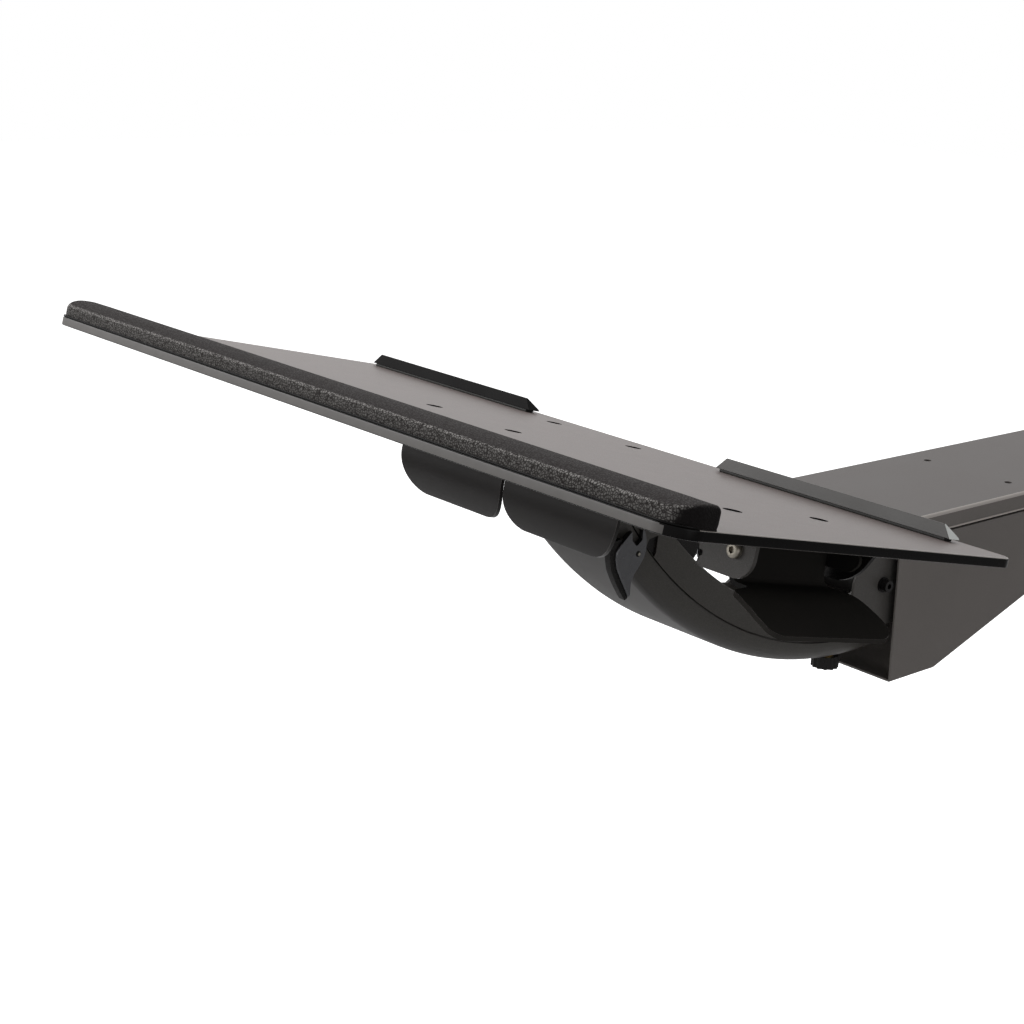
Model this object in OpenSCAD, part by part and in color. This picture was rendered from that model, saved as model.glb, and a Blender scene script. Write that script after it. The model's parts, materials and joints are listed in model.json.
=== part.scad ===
// Keyboard tray that hangs under a desk on a curved, tilting arm.
// Millimetres. +Z is up, +Y points away from the user, +X is the user's right.
// The origin is the centre of the screw pattern, on the face that meets the desk.

/* [Mounting channel] */
// Length of the mounting channel, front to back
channel_l = 400; // [370:5:520]
// Width of the mounting channel and of the housing below it
channel_w = 154; // [146:1:180]
// Thickness of the channel sheet
channel_t = 2.5; // [1.5:0.1:3.5]
// Drop of the rolled lip along each long edge
lip_h = 6; // [4:0.5:9]
// Drop of the inner flange that carries the cheek plates
flange_h = 34; // [26:1:44]
// Distance from the channel's front edge to the centre of the screw pattern
pattern_y = 185; // [180:1:190]
// Spacing of the mounting screws across the channel
hole_pitch_x = 95; // [60:1:110]
// Spacing of the mounting screw rows along the channel
hole_pitch_y = 170; // [120:1:172]
// Diameter of the mounting screw holes
hole_d = 5.5; // [4:0.1:7]

/* [Housing] */
// Depth of the housing below the desk at its front
housing_h = 143; // [142:1:180]
// Thickness of the housing sheet
housing_t = 2; // [1.2:0.1:3]
// Length of the flat bottom, from the front edge
housing_flat_l = 60; // [40:1:120]
// Depth of the housing below the desk at its rear
housing_rear_h = 30; // [26:1:60]
// Depth below the desk at which the side walls start
wall_top_z = 18.5; // [12:0.5:22]

/* [Cheek plates] */
// Thickness of a cheek plate
cheek_t = 2.5; // [2:0.1:3.5]
// Radius of the rounded nose around the pivot
nose_r = 37; // [24:1:42]
// Length of a cheek plate behind the pivot
cheek_l = 128; // [100:1:170]
// Diameter of the arm's pivot shaft
pivot_d = 12; // [10:0.5:16]
// Distance of the pivot in front of the channel's front edge
pivot_out = 9; // [7:0.5:14]
// Depth of the pivot below the desk
pivot_drop = 55.5; // [50:0.5:60]
// Diameter of the counterbalance spring drum
drum_d = 36; // [30:1:38]

/* [Arm] */
// Width of the arm shell
arm_w = 120; // [96:1:120]
// Radius of the arm's lower face, seen from the side
arm_r = 351; // [330:1:380]
// Depth of the arm's channel section
arm_depth = 46; // [40:1:48]
// Thickness of the arm shell
arm_t = 2.8; // [2:0.1:3.5]
// Radius of the lower corners of the channel section
arm_corner_r = 19; // [12:0.5:20]
// Height of the pivot above the arm's lowest line
pivot_rise = 64; // [60:1:70]
// Distance of the arc's centre in front of the pivot
arc_lead = 9.3; // [5:0.1:14]
// Angle from the arc's lowest line to the tilt shaft
arm_sweep = 61; // [50:1:64]
// Diameter of the tilt shaft
tilt_d = 8; // [6:0.5:10]
// Distance of the tilt shaft inside the arm's lower face
tilt_inset = 22; // [20:0.5:24]

/* [Lock knob] */
// Diameter of the lock knob
knob_d = 24; // [20:1:28]
// Height of the lock knob
knob_h = 11; // [8:0.5:12]
// Distance of the knob to the right of the arm's centre line
knob_x = 34; // [20:1:34]
// Distance of the knob in front of the pivot
knob_fwd = 27; // [24:1:40]

/* [Tray board] */
// Width of the board
tray_w = 686; // [640:1:760]
// Depth of the board
tray_d = 305; // [300:1:330]
// Thickness of the board
tray_t = 6.4; // [5:0.1:9]
// Radius of the board's front corners
front_r = 20; // [10:1:30]
// Radius of the board's rear corners
back_r = 12; // [6:1:20]
// Tilt of the board as photographed, front edge up
tray_tilt = 13.3; // [8:0.1:15]
// Distance of the board's centre to the right of the arm's centre line
tray_shift = 25; // [0:1:40]
// Distance of the tilt shaft in front of the board's rear edge
tilt_back = 55; // [49:1:60]
// Distance of the tilt shaft below the board
tilt_drop = 22.4; // [21:0.1:26]

/* [Palm rest] */
// Depth of the palm rest, front to back
palm_d = 30; // [24:1:60]
// Height of the palm rest at its crown
palm_h = 13.4; // [10:0.1:20]
// Height of its front face, up to the ridge
palm_front_h = 7.8; // [5:0.1:9]
// Distance of the palm rest behind the board's front edge
palm_set = 2.5; // [1:0.5:6]

/* [Keyboard stops] */
// Length of a stop bar
stop_l = 212; // [180:1:240]
// Depth of a stop bar
stop_d = 11; // [9:0.5:14]
// Height of a stop bar
stop_h = 8.5; // [7:0.5:12]
// Distance of the stops' front face from the board's rear edge
stop_back = 21; // [19:1:29]
// Distance between the centres of the two stop bars
stop_spacing = 421; // [380:1:430]
// Distance between the two pegs of a bar
peg_spacing = 164; // [120:1:170]
// Diameter of a peg
peg_d = 5; // [4:0.5:6]

/* [Tilt bracket] */
// Width of the bracket's plate
bracket_w = 124; // [120:1:150]
// Thickness of the bracket's sheet
bracket_t = 3; // [2:0.1:4]
// Spacing of the board screws across the board
screw_pitch_x = 90; // [84:1:92]
// Spacing of the board screws along the board
screw_pitch_y = 115; // [105:1:117]
// Distance of the rear board screws from the board's rear edge
screw_back = 34; // [32:1:36]
// Diameter of the flat heads of the board screws
screw_head_d = 12; // [10:0.5:13]
// Diameter of the board screws
screw_d = 5; // [4:0.1:6]

/* [Front paddles] */
// Width of one front paddle
paddle_w = 122; // [100:1:140]
// Drop of a front paddle below the board's top face
paddle_drop = 73; // [60:1:78]
// Thickness of a paddle
paddle_t = 3; // [2:0.1:4]
// Radius of a paddle's lower corners
paddle_r = 30; // [15:1:34]
// Distance of the paddles' hinge rod in front of the tilt shaft
paddle_fwd = 51; // [48:1:60]
// Diameter of the hinge rod
rod_d = 5; // [4:0.5:5.5]

/* [Side lever] */
// Distance of the lever's outer edge inside the board's right edge
lever_inset = 11; // [4:1:16]
// Width of the lever, from its flange to its outer edge
lever_w = 68; // [64:1:74]
// Distance of the lever's front from the board's front edge
lever_y = 112; // [108:1:118]
// Length of the lever
lever_l = 113; // [108:1:122]
// Thickness of the lever's sheet
lever_t = 3.2; // [2:0.1:4]
// Drop of the lever's outer edge below the board's top face
lever_drop = 61; // [56:1:66]
// Drop of the lever's flat shelf below the board's top face
lever_shelf = 42; // [41:0.5:45]
// Width of the flat shelf between the flange and the sloping wing
lever_shelf_w = 27; // [22:1:32]
// Distance of the lever's pivot inside its outer edge
lever_pivot_in = 48; // [46:1:50]
// Drop of the lever's pivot below the board's top face
lever_pivot_z = 20; // [19:0.5:22]
// Diameter of the lever's pivot screws
lever_pin_d = 5; // [4:0.5:6]

/* [Hidden] */
$fn = 96;

// Clearances: run_gap is radial, where a piece turns or slides on another
run_gap = 0.05;
face_gap = 0.05;
lug_gap = 0.5;
// Overshoot of a cutter beyond the face it cuts
cut = 1;

// Colours
COATING = [0.38, 0.37, 0.35];
PLATE = [0.62, 0.62, 0.60];
ZINC = [0.75, 0.75, 0.76];
STEEL = [0.50, 0.50, 0.52];
BLACK = [0.09, 0.09, 0.09];
BRASS = [0.72, 0.58, 0.28];
BOARD = [0.16, 0.14, 0.13];

// Sizes of the folded sheet edges
lip_t = 2;
lip_r = 3;
flange_t = 2;
rail_short = 40;
arm_side_room = 5.7;
cheek_x = arm_w / 2 + arm_side_room + cheek_t;
rail_x = cheek_x + flange_t;
rail_l = channel_l - rail_short;
channel_front = -pattern_y;
channel_back = channel_l - pattern_y;

// Pivot of the arm on the cheek plates
pivot_y = channel_front - pivot_out;
pivot_z = -pivot_drop;
cap_d = 5;
cap_head_d = 10;
cap_head_l = 6;
cap_socket_d = 5;
cap_socket_l = 3;
cap_thread_l = 16;
washer_d = 13;
washer_t = 1.6;
drum_half = 50;
drum_flange = 4;
drum_waist = 2.5;
rivet_d = 4;
rivet_head_d = 7;
rivet_head_t = 0.8;
rivet_ys = [18, 60, 102];
cheek_top = 6;
cheek_back = 4;

// Arc of the arm: its centre, and the angles of its two ends
arc_y = pivot_y - arc_lead;
arc_z = pivot_z - pivot_rise + arm_r;
arc_rear = 2.5;
crease_r = arm_r - arm_corner_r;
crease_w = 1.4;
crease_t = 0.6;
ear_r = 16;
arm_half = arm_w / 2;
bush_wall = 1.5;
bush_rim = 2.5;
tilt_r = arm_r - tilt_inset;
tilt_axis_y = arc_y - tilt_r * sin(arm_sweep);
tilt_axis_z = arc_z - tilt_r * cos(arm_sweep);
nut_flat = 13;
nut_t = 6;
nut_washer_d = 16;
shaft_over = 1;
ear_lead = 9;
web_over = 4;

// Lock strap and knob on the arm
strap_x = 45;
strap_t = 3;
strap_r = 33;
strap_w = 15;
strap_a = 46.7;
strap_inset = 19;
strap_top = 14;
strap_gap = 0.6;
strap_slot_l = 62;
strap_boss_l = 58;
strap_boss_h = 13;
strap_screw_y = 24;
strap_screw_z = 7;
strap_screw_d = 4;
strap_head_d = 8;
strap_head_t = 2.4;
strap_grip_l = 5;
collar_d = 14;
collar_t = 2.5;
collar_sleeve_d = 9;
collar_top = 1;
stem_d = 6;
stem_head_d = 10;
stem_head_t = 2.5;
scallop_d = 5;
scallop_n = 12;
knob_a = -asin((knob_fwd - arc_lead) / arm_r);

// Tray frame: the front edge of the board's top face, centred on the board
axis_drop = tilt_drop + tray_t;
arm_x = -tray_shift;
screw_head_t = 2.4;
tilt_y = tray_d - tilt_back;
plate_front_l = 110;
plate_rear_l = 35;
plate_from = tilt_y - plate_front_l;
plate_to = tilt_y + plate_rear_l;
screw_y = tray_d - screw_back - screw_pitch_y;
paddle_y = tilt_y - paddle_fwd;
plate_r = 8;
lug_x = 49;
lug_r = 11;
lug_foot = 16;
tilt_rim = 3;
tilt_play = 0.8;
screw_out = 1.2;

// Hinge of the two front paddles
hanger_t = 2;
hanger_d = 20;
knuckle_wall = 1.5;
knuckle_l = 16;
knuckle_in = 8;
knuckle_room = 1.2;
rod_z = -tray_t - bracket_t - hanger_t - knuckle_room - knuckle_wall - rod_d / 2;
hanger_lug_t = 2.5;
hanger_lug_r = rod_d / 2 + 2.5;
rod_head_d = rod_d + 3;
rod_head_t = 1.5;
paddle_inner_r = paddle_r * 0.7;
paddle_top_r = 4;
paddle_straight = 28;
paddle_curve_r = 45;
paddle_x0 = hanger_lug_t / 2 + lug_gap;
hanger_lug_x = paddle_x0 + paddle_w + lug_gap + hanger_lug_t / 2;

// Side lever and its bracket
lever_x = tray_w / 2 - lever_inset;
lever_flange_x = lever_x - lever_w;
lever_pivot_x = lever_x - lever_pivot_in;
side_plate_x = lever_flange_x - 12;
side_plate_w = 46;
side_ear_x = side_plate_x - 1;
side_ear_w = 48;
side_ear_drop = 36;
side_ear_t = 3;
side_ear_r = 14;
side_ear_r2 = 4;
side_ear_y = lever_y;
side_ear_inset = 2;
side_ear_y2 = lever_y + lever_l - side_ear_inset;
lever_screw_x = lever_flange_x + 2;
lever_screw_front = 9.5;
lever_screw_rear = 25;
lever_screw_ys = [lever_y + lever_screw_front, lever_y + lever_l - lever_screw_rear];
lever_bend = 4;
lever_fold = 7;
lever_lug_r = 9;
lever_top = -tray_t - bracket_t - 2.6;
lever_front_r = 14;
lever_rear_r = 24;
lever_head_d = 10;
lever_head_t = 4;
stop_screw_d = 4;
stop_screw_x = lever_flange_x - 7;
stop_screw_z = -28;
stop_screw_l = 8;
stop_head_d = 7;
stop_head_t = 2;

// Keyboard stops
stop_end = 12;
shoulder_t = 2;
shoulder_d = 9;
peg_out = 4;
peg_in = 5;
stop_y = tray_d - stop_back;
// Centre of the two stop bars: a little to the left of the board's centre
stop_mid = -12;

module at_pivot() {
    translate([0, pivot_y, pivot_z]) rotate([0, 90, 0]) children();
}

// Local frame on the arc at one angle: +Y along the arc to the rear, +Z to its centre
module on_arc(a, r) {
    translate([0, arc_y, arc_z]) rotate([a, 0, 0]) translate([0, 0, -r]) children();
}

module tray_frame() {
    translate([tray_shift, tilt_axis_y, tilt_axis_z])
        rotate([-tray_tilt, 0, 0])
            translate([0, -tilt_y, axis_drop]) children();
}

// Extrudes a YZ outline to the right from x0
module along_x(x0, w) {
    translate([x0, 0, 0]) rotate([90, 0, 90]) linear_extrude(height = w) children();
}

// Extrudes an XZ outline to the rear from y0
module along_y(y0, l) {
    translate([0, y0 + l, 0]) rotate([90, 0, 0]) linear_extrude(height = l) children();
}

module both_sides() {
    children();
    mirror([1, 0, 0]) children();
}

// Disc with its axis along X, from x0 to the right
module disc_x(x0, d, l) {
    translate([x0, 0, 0]) rotate([0, 90, 0]) cylinder(d = d, h = l);
}

module disc_y(y0, d, l) {
    translate([0, y0 + l, 0]) rotate([90, 0, 0]) cylinder(d = d, h = l);
}

module block(x0, x1, y0, y1, z0, z1) {
    translate([x0, y0, z0]) cube([x1 - x0, y1 - y0, z1 - z0]);
}

// Rectangle from [x0, y0] to [x1, y1] with one radius at each corner, from lower left
module rounded(x0, y0, x1, y1, ra, rb, rc, rd) {
    difference() {
        translate([x0, y0]) square([x1 - x0, y1 - y0]);
        corner_off(x0, y0, 1, 1, ra);
        corner_off(x1, y0, -1, 1, rb);
        corner_off(x1, y1, -1, -1, rc);
        corner_off(x0, y1, 1, -1, rd);
    }
}

// Waste between a square corner and its radius
module corner_off(x, y, sx, sy, r) {
    if (r > 0)
        translate([x, y]) scale([sx, sy]) difference() {
            translate([-cut, -cut]) square([r + cut, r + cut]);
            translate([r, r]) circle(r);
        }
}

// Mounting channel: plate with rolled lips and inner flanges
module mounting_channel() {
    half = channel_w / 2;
    color(COATING) difference() {
        union() {
            along_y(channel_front, channel_l) difference() {
                rounded(-half, -lip_h, half, 0, 0, 0, lip_r, lip_r);
                translate([-half + lip_t, -lip_h - cut])
                    square([channel_w - 2 * lip_t, lip_h - channel_t + cut]);
            }
            both_sides()
                block(cheek_x, rail_x, channel_front, channel_front + rail_l, -flange_h, -channel_t);
        }
        for (x = [-1, 1], y = [-1, 0, 1])
            translate([x * hole_pitch_x / 2, y * hole_pitch_y, -channel_t - cut])
                cylinder(d = hole_d, h = channel_t + 2 * cut);
        rivet_holes();
    }
}

module rivet_places() {
    for (y = rivet_ys)
        both_sides() translate([0, channel_front + y, -(wall_top_z + flange_h) / 2]) children();
}

module rivet_holes() {
    rivet_places() disc_x(cheek_x - cheek_t - cut, rivet_d, cheek_t + flange_t + 2 * cut);
}

// Housing: side walls with hemmed tops, flat bottom, ramp and rear flap
module housing() {
    half = channel_w / 2;
    run = channel_l - housing_flat_l;
    slope = (housing_h - housing_rear_h) / run;
    lean = sqrt(1 + slope * slope);
    bend_y = channel_front + housing_flat_l;
    inner_y = bend_y - housing_t * (lean - 1) / slope;
    rear_y = channel_back - housing_t;
    rear_z = -housing_h + slope * (rear_y - bend_y) + housing_t * lean;
    outline = [
        [channel_front, -wall_top_z], [channel_front, -housing_h], [bend_y, -housing_h],
        [channel_back, -housing_rear_h], [channel_back, -wall_top_z]
    ];
    hollow = [
        [channel_front - cut, -wall_top_z + cut], [channel_front - cut, -housing_h + housing_t],
        [inner_y, -housing_h + housing_t], [rear_y, rear_z], [rear_y, -wall_top_z + cut]
    ];
    color(COATING) union() {
        along_x(-half, channel_w) difference() {
            polygon(outline);
            polygon(hollow);
        }
        both_sides() along_x(half - housing_t, housing_t) polygon(outline);
        both_sides() block(rail_x, half, channel_front, channel_back, -wall_top_z - housing_t, -wall_top_z);
    }
}

// Cheek plate with a rounded nose around the pivot
module cheek() {
    difference() {
        along_x(cheek_x - cheek_t, cheek_t) union() {
            translate([pivot_y, pivot_z]) circle(nose_r);
            translate([pivot_y, pivot_z - nose_r]) square([cheek_l, 2 * nose_r]);
            translate([channel_front + cheek_back, pivot_z])
                square([cheek_l - pivot_out - cheek_back, -cheek_top - pivot_z]);
        }
        at_pivot() cylinder(d = cap_d, h = channel_w);
        rivet_holes();
    }
}

module cheek_left() {
    color(PLATE) mirror([1, 0, 0]) cheek();
}

module cheek_right() {
    color(PLATE) cheek();
}

module cheek_rivets() {
    inner = cheek_x - cheek_t;
    color(ZINC) rivet_places() union() {
        disc_x(inner, rivet_d, rail_x - inner);
        disc_x(inner - rivet_head_t, rivet_head_d, rivet_head_t);
        disc_x(rail_x, rivet_head_d, rivet_head_t);
    }
}

// Pivot shaft between the cheeks, tapped at both ends
module pivot_shaft() {
    half = cheek_x - cheek_t;
    color(STEEL) translate([0, pivot_y, pivot_z]) difference() {
        disc_x(-half, pivot_d, 2 * half);
        both_sides() disc_x(half - cap_thread_l, cap_d, cap_thread_l + cut);
    }
}

module pivot_screws() {
    color(BLACK) translate([0, pivot_y, pivot_z]) both_sides() difference() {
        union() {
            disc_x(cheek_x - cheek_t - cap_thread_l, cap_d, cap_thread_l + cheek_t);
            disc_x(cheek_x, washer_d, washer_t);
            disc_x(cheek_x + washer_t, cap_head_d, cap_head_l);
        }
        translate([cheek_x + washer_t + cap_head_l - cap_socket_l, 0, 0])
            rotate([0, 90, 0]) cylinder(d = cap_socket_d, h = cap_socket_l + cut, $fn = 6);
    }
}

// Drum of the counterbalance spring, fixed on the shaft
module spring_drum() {
    color(BLACK) translate([0, pivot_y, pivot_z]) difference() {
        union() {
            disc_x(-drum_half, drum_d - 2 * drum_waist, 2 * drum_half);
            both_sides() disc_x(drum_half - drum_flange, drum_d, drum_flange);
        }
        disc_x(-drum_half - cut, pivot_d, 2 * drum_half + 2 * cut);
    }
}

// Section drawn with x to the side and y to the arc's centre, swept round the arc
module sweep_arc(a0, a1) {
    translate([0, arc_y, arc_z]) rotate([0, 90, 0]) rotate([0, 0, a0])
        rotate_extrude(angle = a1 - a0) translate([arm_r, 0]) rotate(90) children();
}

// Channel section of the arm, with a pressed crease on each side
module u_section() {
    inner_r = arm_corner_r - arm_t;
    difference() {
        rounded(-arm_half, 0, arm_half, arm_depth, arm_corner_r, arm_corner_r, 1, 1);
        rounded(-arm_half + arm_t, arm_t, arm_half - arm_t, arm_depth + 2, inner_r, inner_r, 0, 0);
        for (s = [-1, 1])
            translate([s * arm_half, arm_r - crease_r]) square([2 * crease_t, crease_w], center = true);
    }
}

// Rear ear of the arm in side view, rising from the web to the pivot
module rear_ear() {
    foot_r = crease_r - crease_w;
    polygon([
        [pivot_y - ear_r, pivot_z],
        [arc_y - (arm_r - arm_depth) * sin(ear_lead), arc_z - (arm_r - arm_depth) * cos(ear_lead)],
        [arc_y - foot_r * sin(ear_lead), arc_z - foot_r * cos(ear_lead)],
        [arc_y, arc_z - foot_r],
        [arc_y + foot_r * sin(arc_rear), arc_z - foot_r * cos(arc_rear)],
        [pivot_y + ear_r, pivot_z]
    ]);
    translate([pivot_y, pivot_z]) circle(ear_r);
}

module arm_shell() {
    front = arm_sweep + web_over;
    color(COATING) difference() {
        union() {
            sweep_arc(-front, arc_rear) u_section();
            both_sides() along_x(arm_half - arm_t, arm_t) rear_ear();
            strap_frame() block(strap_x + strap_t, arm_half - arm_t / 2,
                -strap_boss_l / 2, strap_boss_l / 2, 0, strap_boss_h);
        }
        on_arc(-arm_sweep, tilt_r) along_x(-arm_half - cut, arm_w + 2 * cut) difference() {
            translate([-2 * arm_depth, -arm_depth]) square([2 * arm_depth, 2 * arm_depth]);
            circle(ear_r);
        }
        on_arc(-arm_sweep, tilt_r) disc_x(-arm_w, tilt_d, 2 * arm_w);
        at_pivot() cylinder(d = pivot_d + 2 * bush_wall, h = 2 * arm_w, center = true);
        on_arc(knob_a, arm_r) translate([knob_x, 0, -cut])
            cylinder(d = collar_sleeve_d, h = arm_t + 2 * cut);
        on_arc(-strap_a, arm_r) block(strap_x - strap_gap, strap_x + strap_t + strap_gap,
            -strap_slot_l / 2, strap_slot_l / 2, -cut, 2 * arm_t);
        strap_frame() strap_places() disc_x(strap_x, strap_screw_d, strap_t + strap_grip_l);
    }
}

// Bushes pressed into the rear ears, their rims filling the space to the cheeks
module pivot_bushes() {
    rim = cheek_x - cheek_t - arm_half - face_gap;
    color(BRASS) translate([0, pivot_y, pivot_z]) both_sides() difference() {
        union() {
            disc_x(arm_half - arm_t, pivot_d + 2 * bush_wall, arm_t + rim);
            disc_x(arm_half, pivot_d + 2 * bush_wall + 2 * bush_rim, rim);
        }
        disc_x(arm_half - arm_t - cut, pivot_d + 2 * run_gap, arm_t + rim + 2 * cut);
    }
}

module tilt_shaft() {
    half = arm_half + washer_t + nut_t + shaft_over;
    color(STEEL) on_arc(-arm_sweep, tilt_r) disc_x(-half, tilt_d, 2 * half);
}

module tilt_nuts() {
    color(ZINC) on_arc(-arm_sweep, tilt_r) both_sides() difference() {
        union() {
            disc_x(arm_half, nut_washer_d, washer_t);
            translate([arm_half + washer_t, 0, 0]) rotate([0, 90, 0])
                cylinder(d = nut_flat / cos(30), h = nut_t, $fn = 6);
        }
        disc_x(arm_half - cut, tilt_d, nut_t + washer_t + 2 * cut);
    }
}

// Frame at the centre of the lock strap's curve, +Z to the arc's centre
module strap_frame() {
    on_arc(-strap_a, arm_r - strap_inset) children();
}

module strap_places() {
    for (s = [-1, 1])
        translate([0, s * strap_screw_y, strap_screw_z]) children();
}

// Curved strap that stands out through a slot in the arm, screwed to a block inside it
module lock_strap() {
    color(ZINC) strap_frame() intersection() {
        difference() {
            disc_x(strap_x, 2 * strap_r, strap_t);
            disc_x(strap_x - cut, 2 * (strap_r - strap_w), strap_t + 2 * cut);
            strap_places() disc_x(strap_x - cut, strap_screw_d, strap_t + 2 * cut);
        }
        block(strap_x - cut, strap_x + strap_t + cut, -2 * strap_r, 2 * strap_r, -2 * strap_r, strap_top);
    }
}

module strap_screws() {
    color(ZINC) strap_frame() strap_places() union() {
        disc_x(strap_x, strap_screw_d, strap_t + strap_grip_l);
        disc_x(strap_x - strap_head_t, strap_head_d, strap_head_t);
    }
}

// Collar that lines the hole of the lock knob's stem
module knob_collar() {
    color(BRASS) on_arc(knob_a, arm_r) translate([knob_x, 0, 0]) difference() {
        union() {
            translate([0, 0, -collar_t]) cylinder(d = collar_d, h = collar_t);
            translate([0, 0, -collar_t]) cylinder(d = collar_sleeve_d, h = collar_t + arm_t + collar_top);
        }
        translate([0, 0, -collar_t - cut])
            cylinder(d = stem_d + 2 * run_gap, h = collar_t + arm_t + collar_top + 2 * cut);
    }
}

module lock_knob() {
    top = -collar_t - face_gap;
    color(BLACK) on_arc(knob_a, arm_r) translate([knob_x, 0, 0]) union() {
        difference() {
            translate([0, 0, top - knob_h]) cylinder(d = knob_d, h = knob_h);
            for (i = [0 : scallop_n - 1])
                rotate([0, 0, i * 360 / scallop_n])
                    translate([knob_d / 2 + scallop_d / 4, 0, top - knob_h - cut])
                        cylinder(d = scallop_d, h = knob_h + 2 * cut, $fn = 32);
        }
        translate([0, 0, top - cut]) cylinder(d = stem_d, h = cut - top + arm_t + collar_top + stem_head_t);
        translate([0, 0, arm_t + collar_top + face_gap]) cylinder(d = stem_head_d, h = stem_head_t);
    }
}

// Places of the board screws that hold the tilt bracket
module board_screw_places() {
    for (x = [-1, 1], y = [0, 1])
        translate([arm_x + x * screw_pitch_x / 2, screw_y + y * screw_pitch_y, 0]) children();
}

module lever_screw_places() {
    for (y = lever_screw_ys)
        translate([lever_screw_x, y, 0]) children();
}

module screw_cut() {
    translate([0, 0, -screw_head_t]) cylinder(d = screw_head_d, h = screw_head_t + cut);
    translate([0, 0, -2 * tray_t]) cylinder(d = screw_d, h = 2 * tray_t);
}

module flat_screw() {
    translate([0, 0, -screw_head_t]) cylinder(d = screw_head_d, h = screw_head_t);
    translate([0, 0, -tray_t - bracket_t - screw_out])
        cylinder(d = screw_d, h = tray_t + bracket_t + screw_out);
}

module peg_places(side) {
    for (i = [-1, 1])
        translate([stop_mid + side * stop_spacing / 2 + i * peg_spacing / 2, stop_y + stop_d / 2, 0])
            children();
}

module tray_board() {
    color(BOARD) tray_frame() difference() {
        translate([0, 0, -tray_t]) linear_extrude(height = tray_t)
            rounded(-tray_w / 2, 0, tray_w / 2, tray_d, front_r, front_r, back_r, back_r);
        board_screw_places() screw_cut();
        lever_screw_places() screw_cut();
        for (side = [-1, 1])
            peg_places(side) translate([0, 0, -tray_t - cut])
                cylinder(d = peg_d + 2 * run_gap, h = tray_t + 2 * cut);
    }
}

// Palm rest: low rounded front face, a crown that rises to the rear
module palm_rest() {
    crown_y = palm_d * 0.75;
    rise = palm_h - palm_front_h;
    crown_r = (crown_y * crown_y + rise * rise) / (2 * rise);
    corner_r = max(front_r - palm_set, 1);
    color(BLACK) tray_frame() translate([0, palm_set, 0]) intersection() {
        along_x(-tray_w / 2 - cut, tray_w + 2 * cut) intersection() {
            rounded(0, 0, palm_d, palm_h + cut, 0, 0, 2, 0);
            translate([crown_y, palm_h - crown_r]) circle(crown_r, $fn = 256);
        }
        translate([0, 0, -cut]) linear_extrude(height = palm_h + 2 * cut)
            rounded(-tray_w / 2, -cut / 2, tray_w / 2, palm_d + cut, corner_r, corner_r, 0, 0);
    }
}

// Bracket under the board: a plate, and two ears that turn on the tilt shaft
module tilt_bracket() {
    top = -tray_t;
    color(COATING) tray_frame() translate([arm_x, 0, 0]) difference() {
        union() {
            translate([0, 0, top - bracket_t]) linear_extrude(height = bracket_t)
                rounded(-bracket_w / 2, plate_from, bracket_w / 2, plate_to,
                    plate_r, plate_r, plate_r, plate_r);
            both_sides() along_x(lug_x, bracket_t) union() {
                translate([tilt_y, -axis_drop]) circle(lug_r);
                polygon([
                    [tilt_y - lug_r, -axis_drop], [tilt_y + lug_r, -axis_drop],
                    [tilt_y + lug_foot, top - bracket_t], [tilt_y - lug_foot, top - bracket_t]
                ]);
            }
        }
        translate([0, tilt_y, -axis_drop]) disc_x(-bracket_w, tilt_d + 2 * bush_wall, 2 * bracket_w);
        translate([-arm_x, 0, 0]) board_screw_places()
            translate([0, 0, -tray_d]) cylinder(d = screw_d, h = tray_d);
    }
}

module tilt_bushes() {
    rim = arm_half - arm_t - lug_x - bracket_t - tilt_play;
    color(BRASS) tray_frame() translate([arm_x, tilt_y, -axis_drop]) both_sides() difference() {
        union() {
            disc_x(lug_x, tilt_d + 2 * bush_wall, bracket_t + rim);
            disc_x(lug_x + bracket_t, tilt_d + 2 * bush_wall + tilt_rim, rim);
        }
        disc_x(lug_x - cut, tilt_d + 2 * run_gap, bracket_t + rim + 2 * cut);
    }
}

module board_screws() {
    color(BLACK) tray_frame() board_screw_places() flat_screw();
}

// Hanger of the front paddles: a plate welded under the bracket, and three lugs
module paddle_hanger() {
    top = -tray_t - bracket_t;
    half = hanger_lug_x + hanger_lug_t / 2;
    color(COATING) tray_frame() translate([arm_x, paddle_y, 0]) difference() {
        union() {
            block(-half, half, -hanger_d / 2, hanger_d / 2, top - hanger_t, top);
            for (i = [-1, 0, 1])
                along_x(i * hanger_lug_x - hanger_lug_t / 2, hanger_lug_t) union() {
                    translate([0, rod_z]) circle(hanger_lug_r);
                    translate([-hanger_lug_r, rod_z]) square([2 * hanger_lug_r, top - rod_z]);
                }
        }
        translate([0, 0, rod_z]) disc_x(-half - cut, rod_d, 2 * half + 2 * cut);
    }
}

module hinge_rod() {
    half = hanger_lug_x + hanger_lug_t / 2;
    color(STEEL) tray_frame() translate([arm_x, paddle_y, rod_z]) union() {
        disc_x(-half, rod_d, 2 * half);
        both_sides() disc_x(half, rod_head_d, rod_head_t);
    }
}

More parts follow.
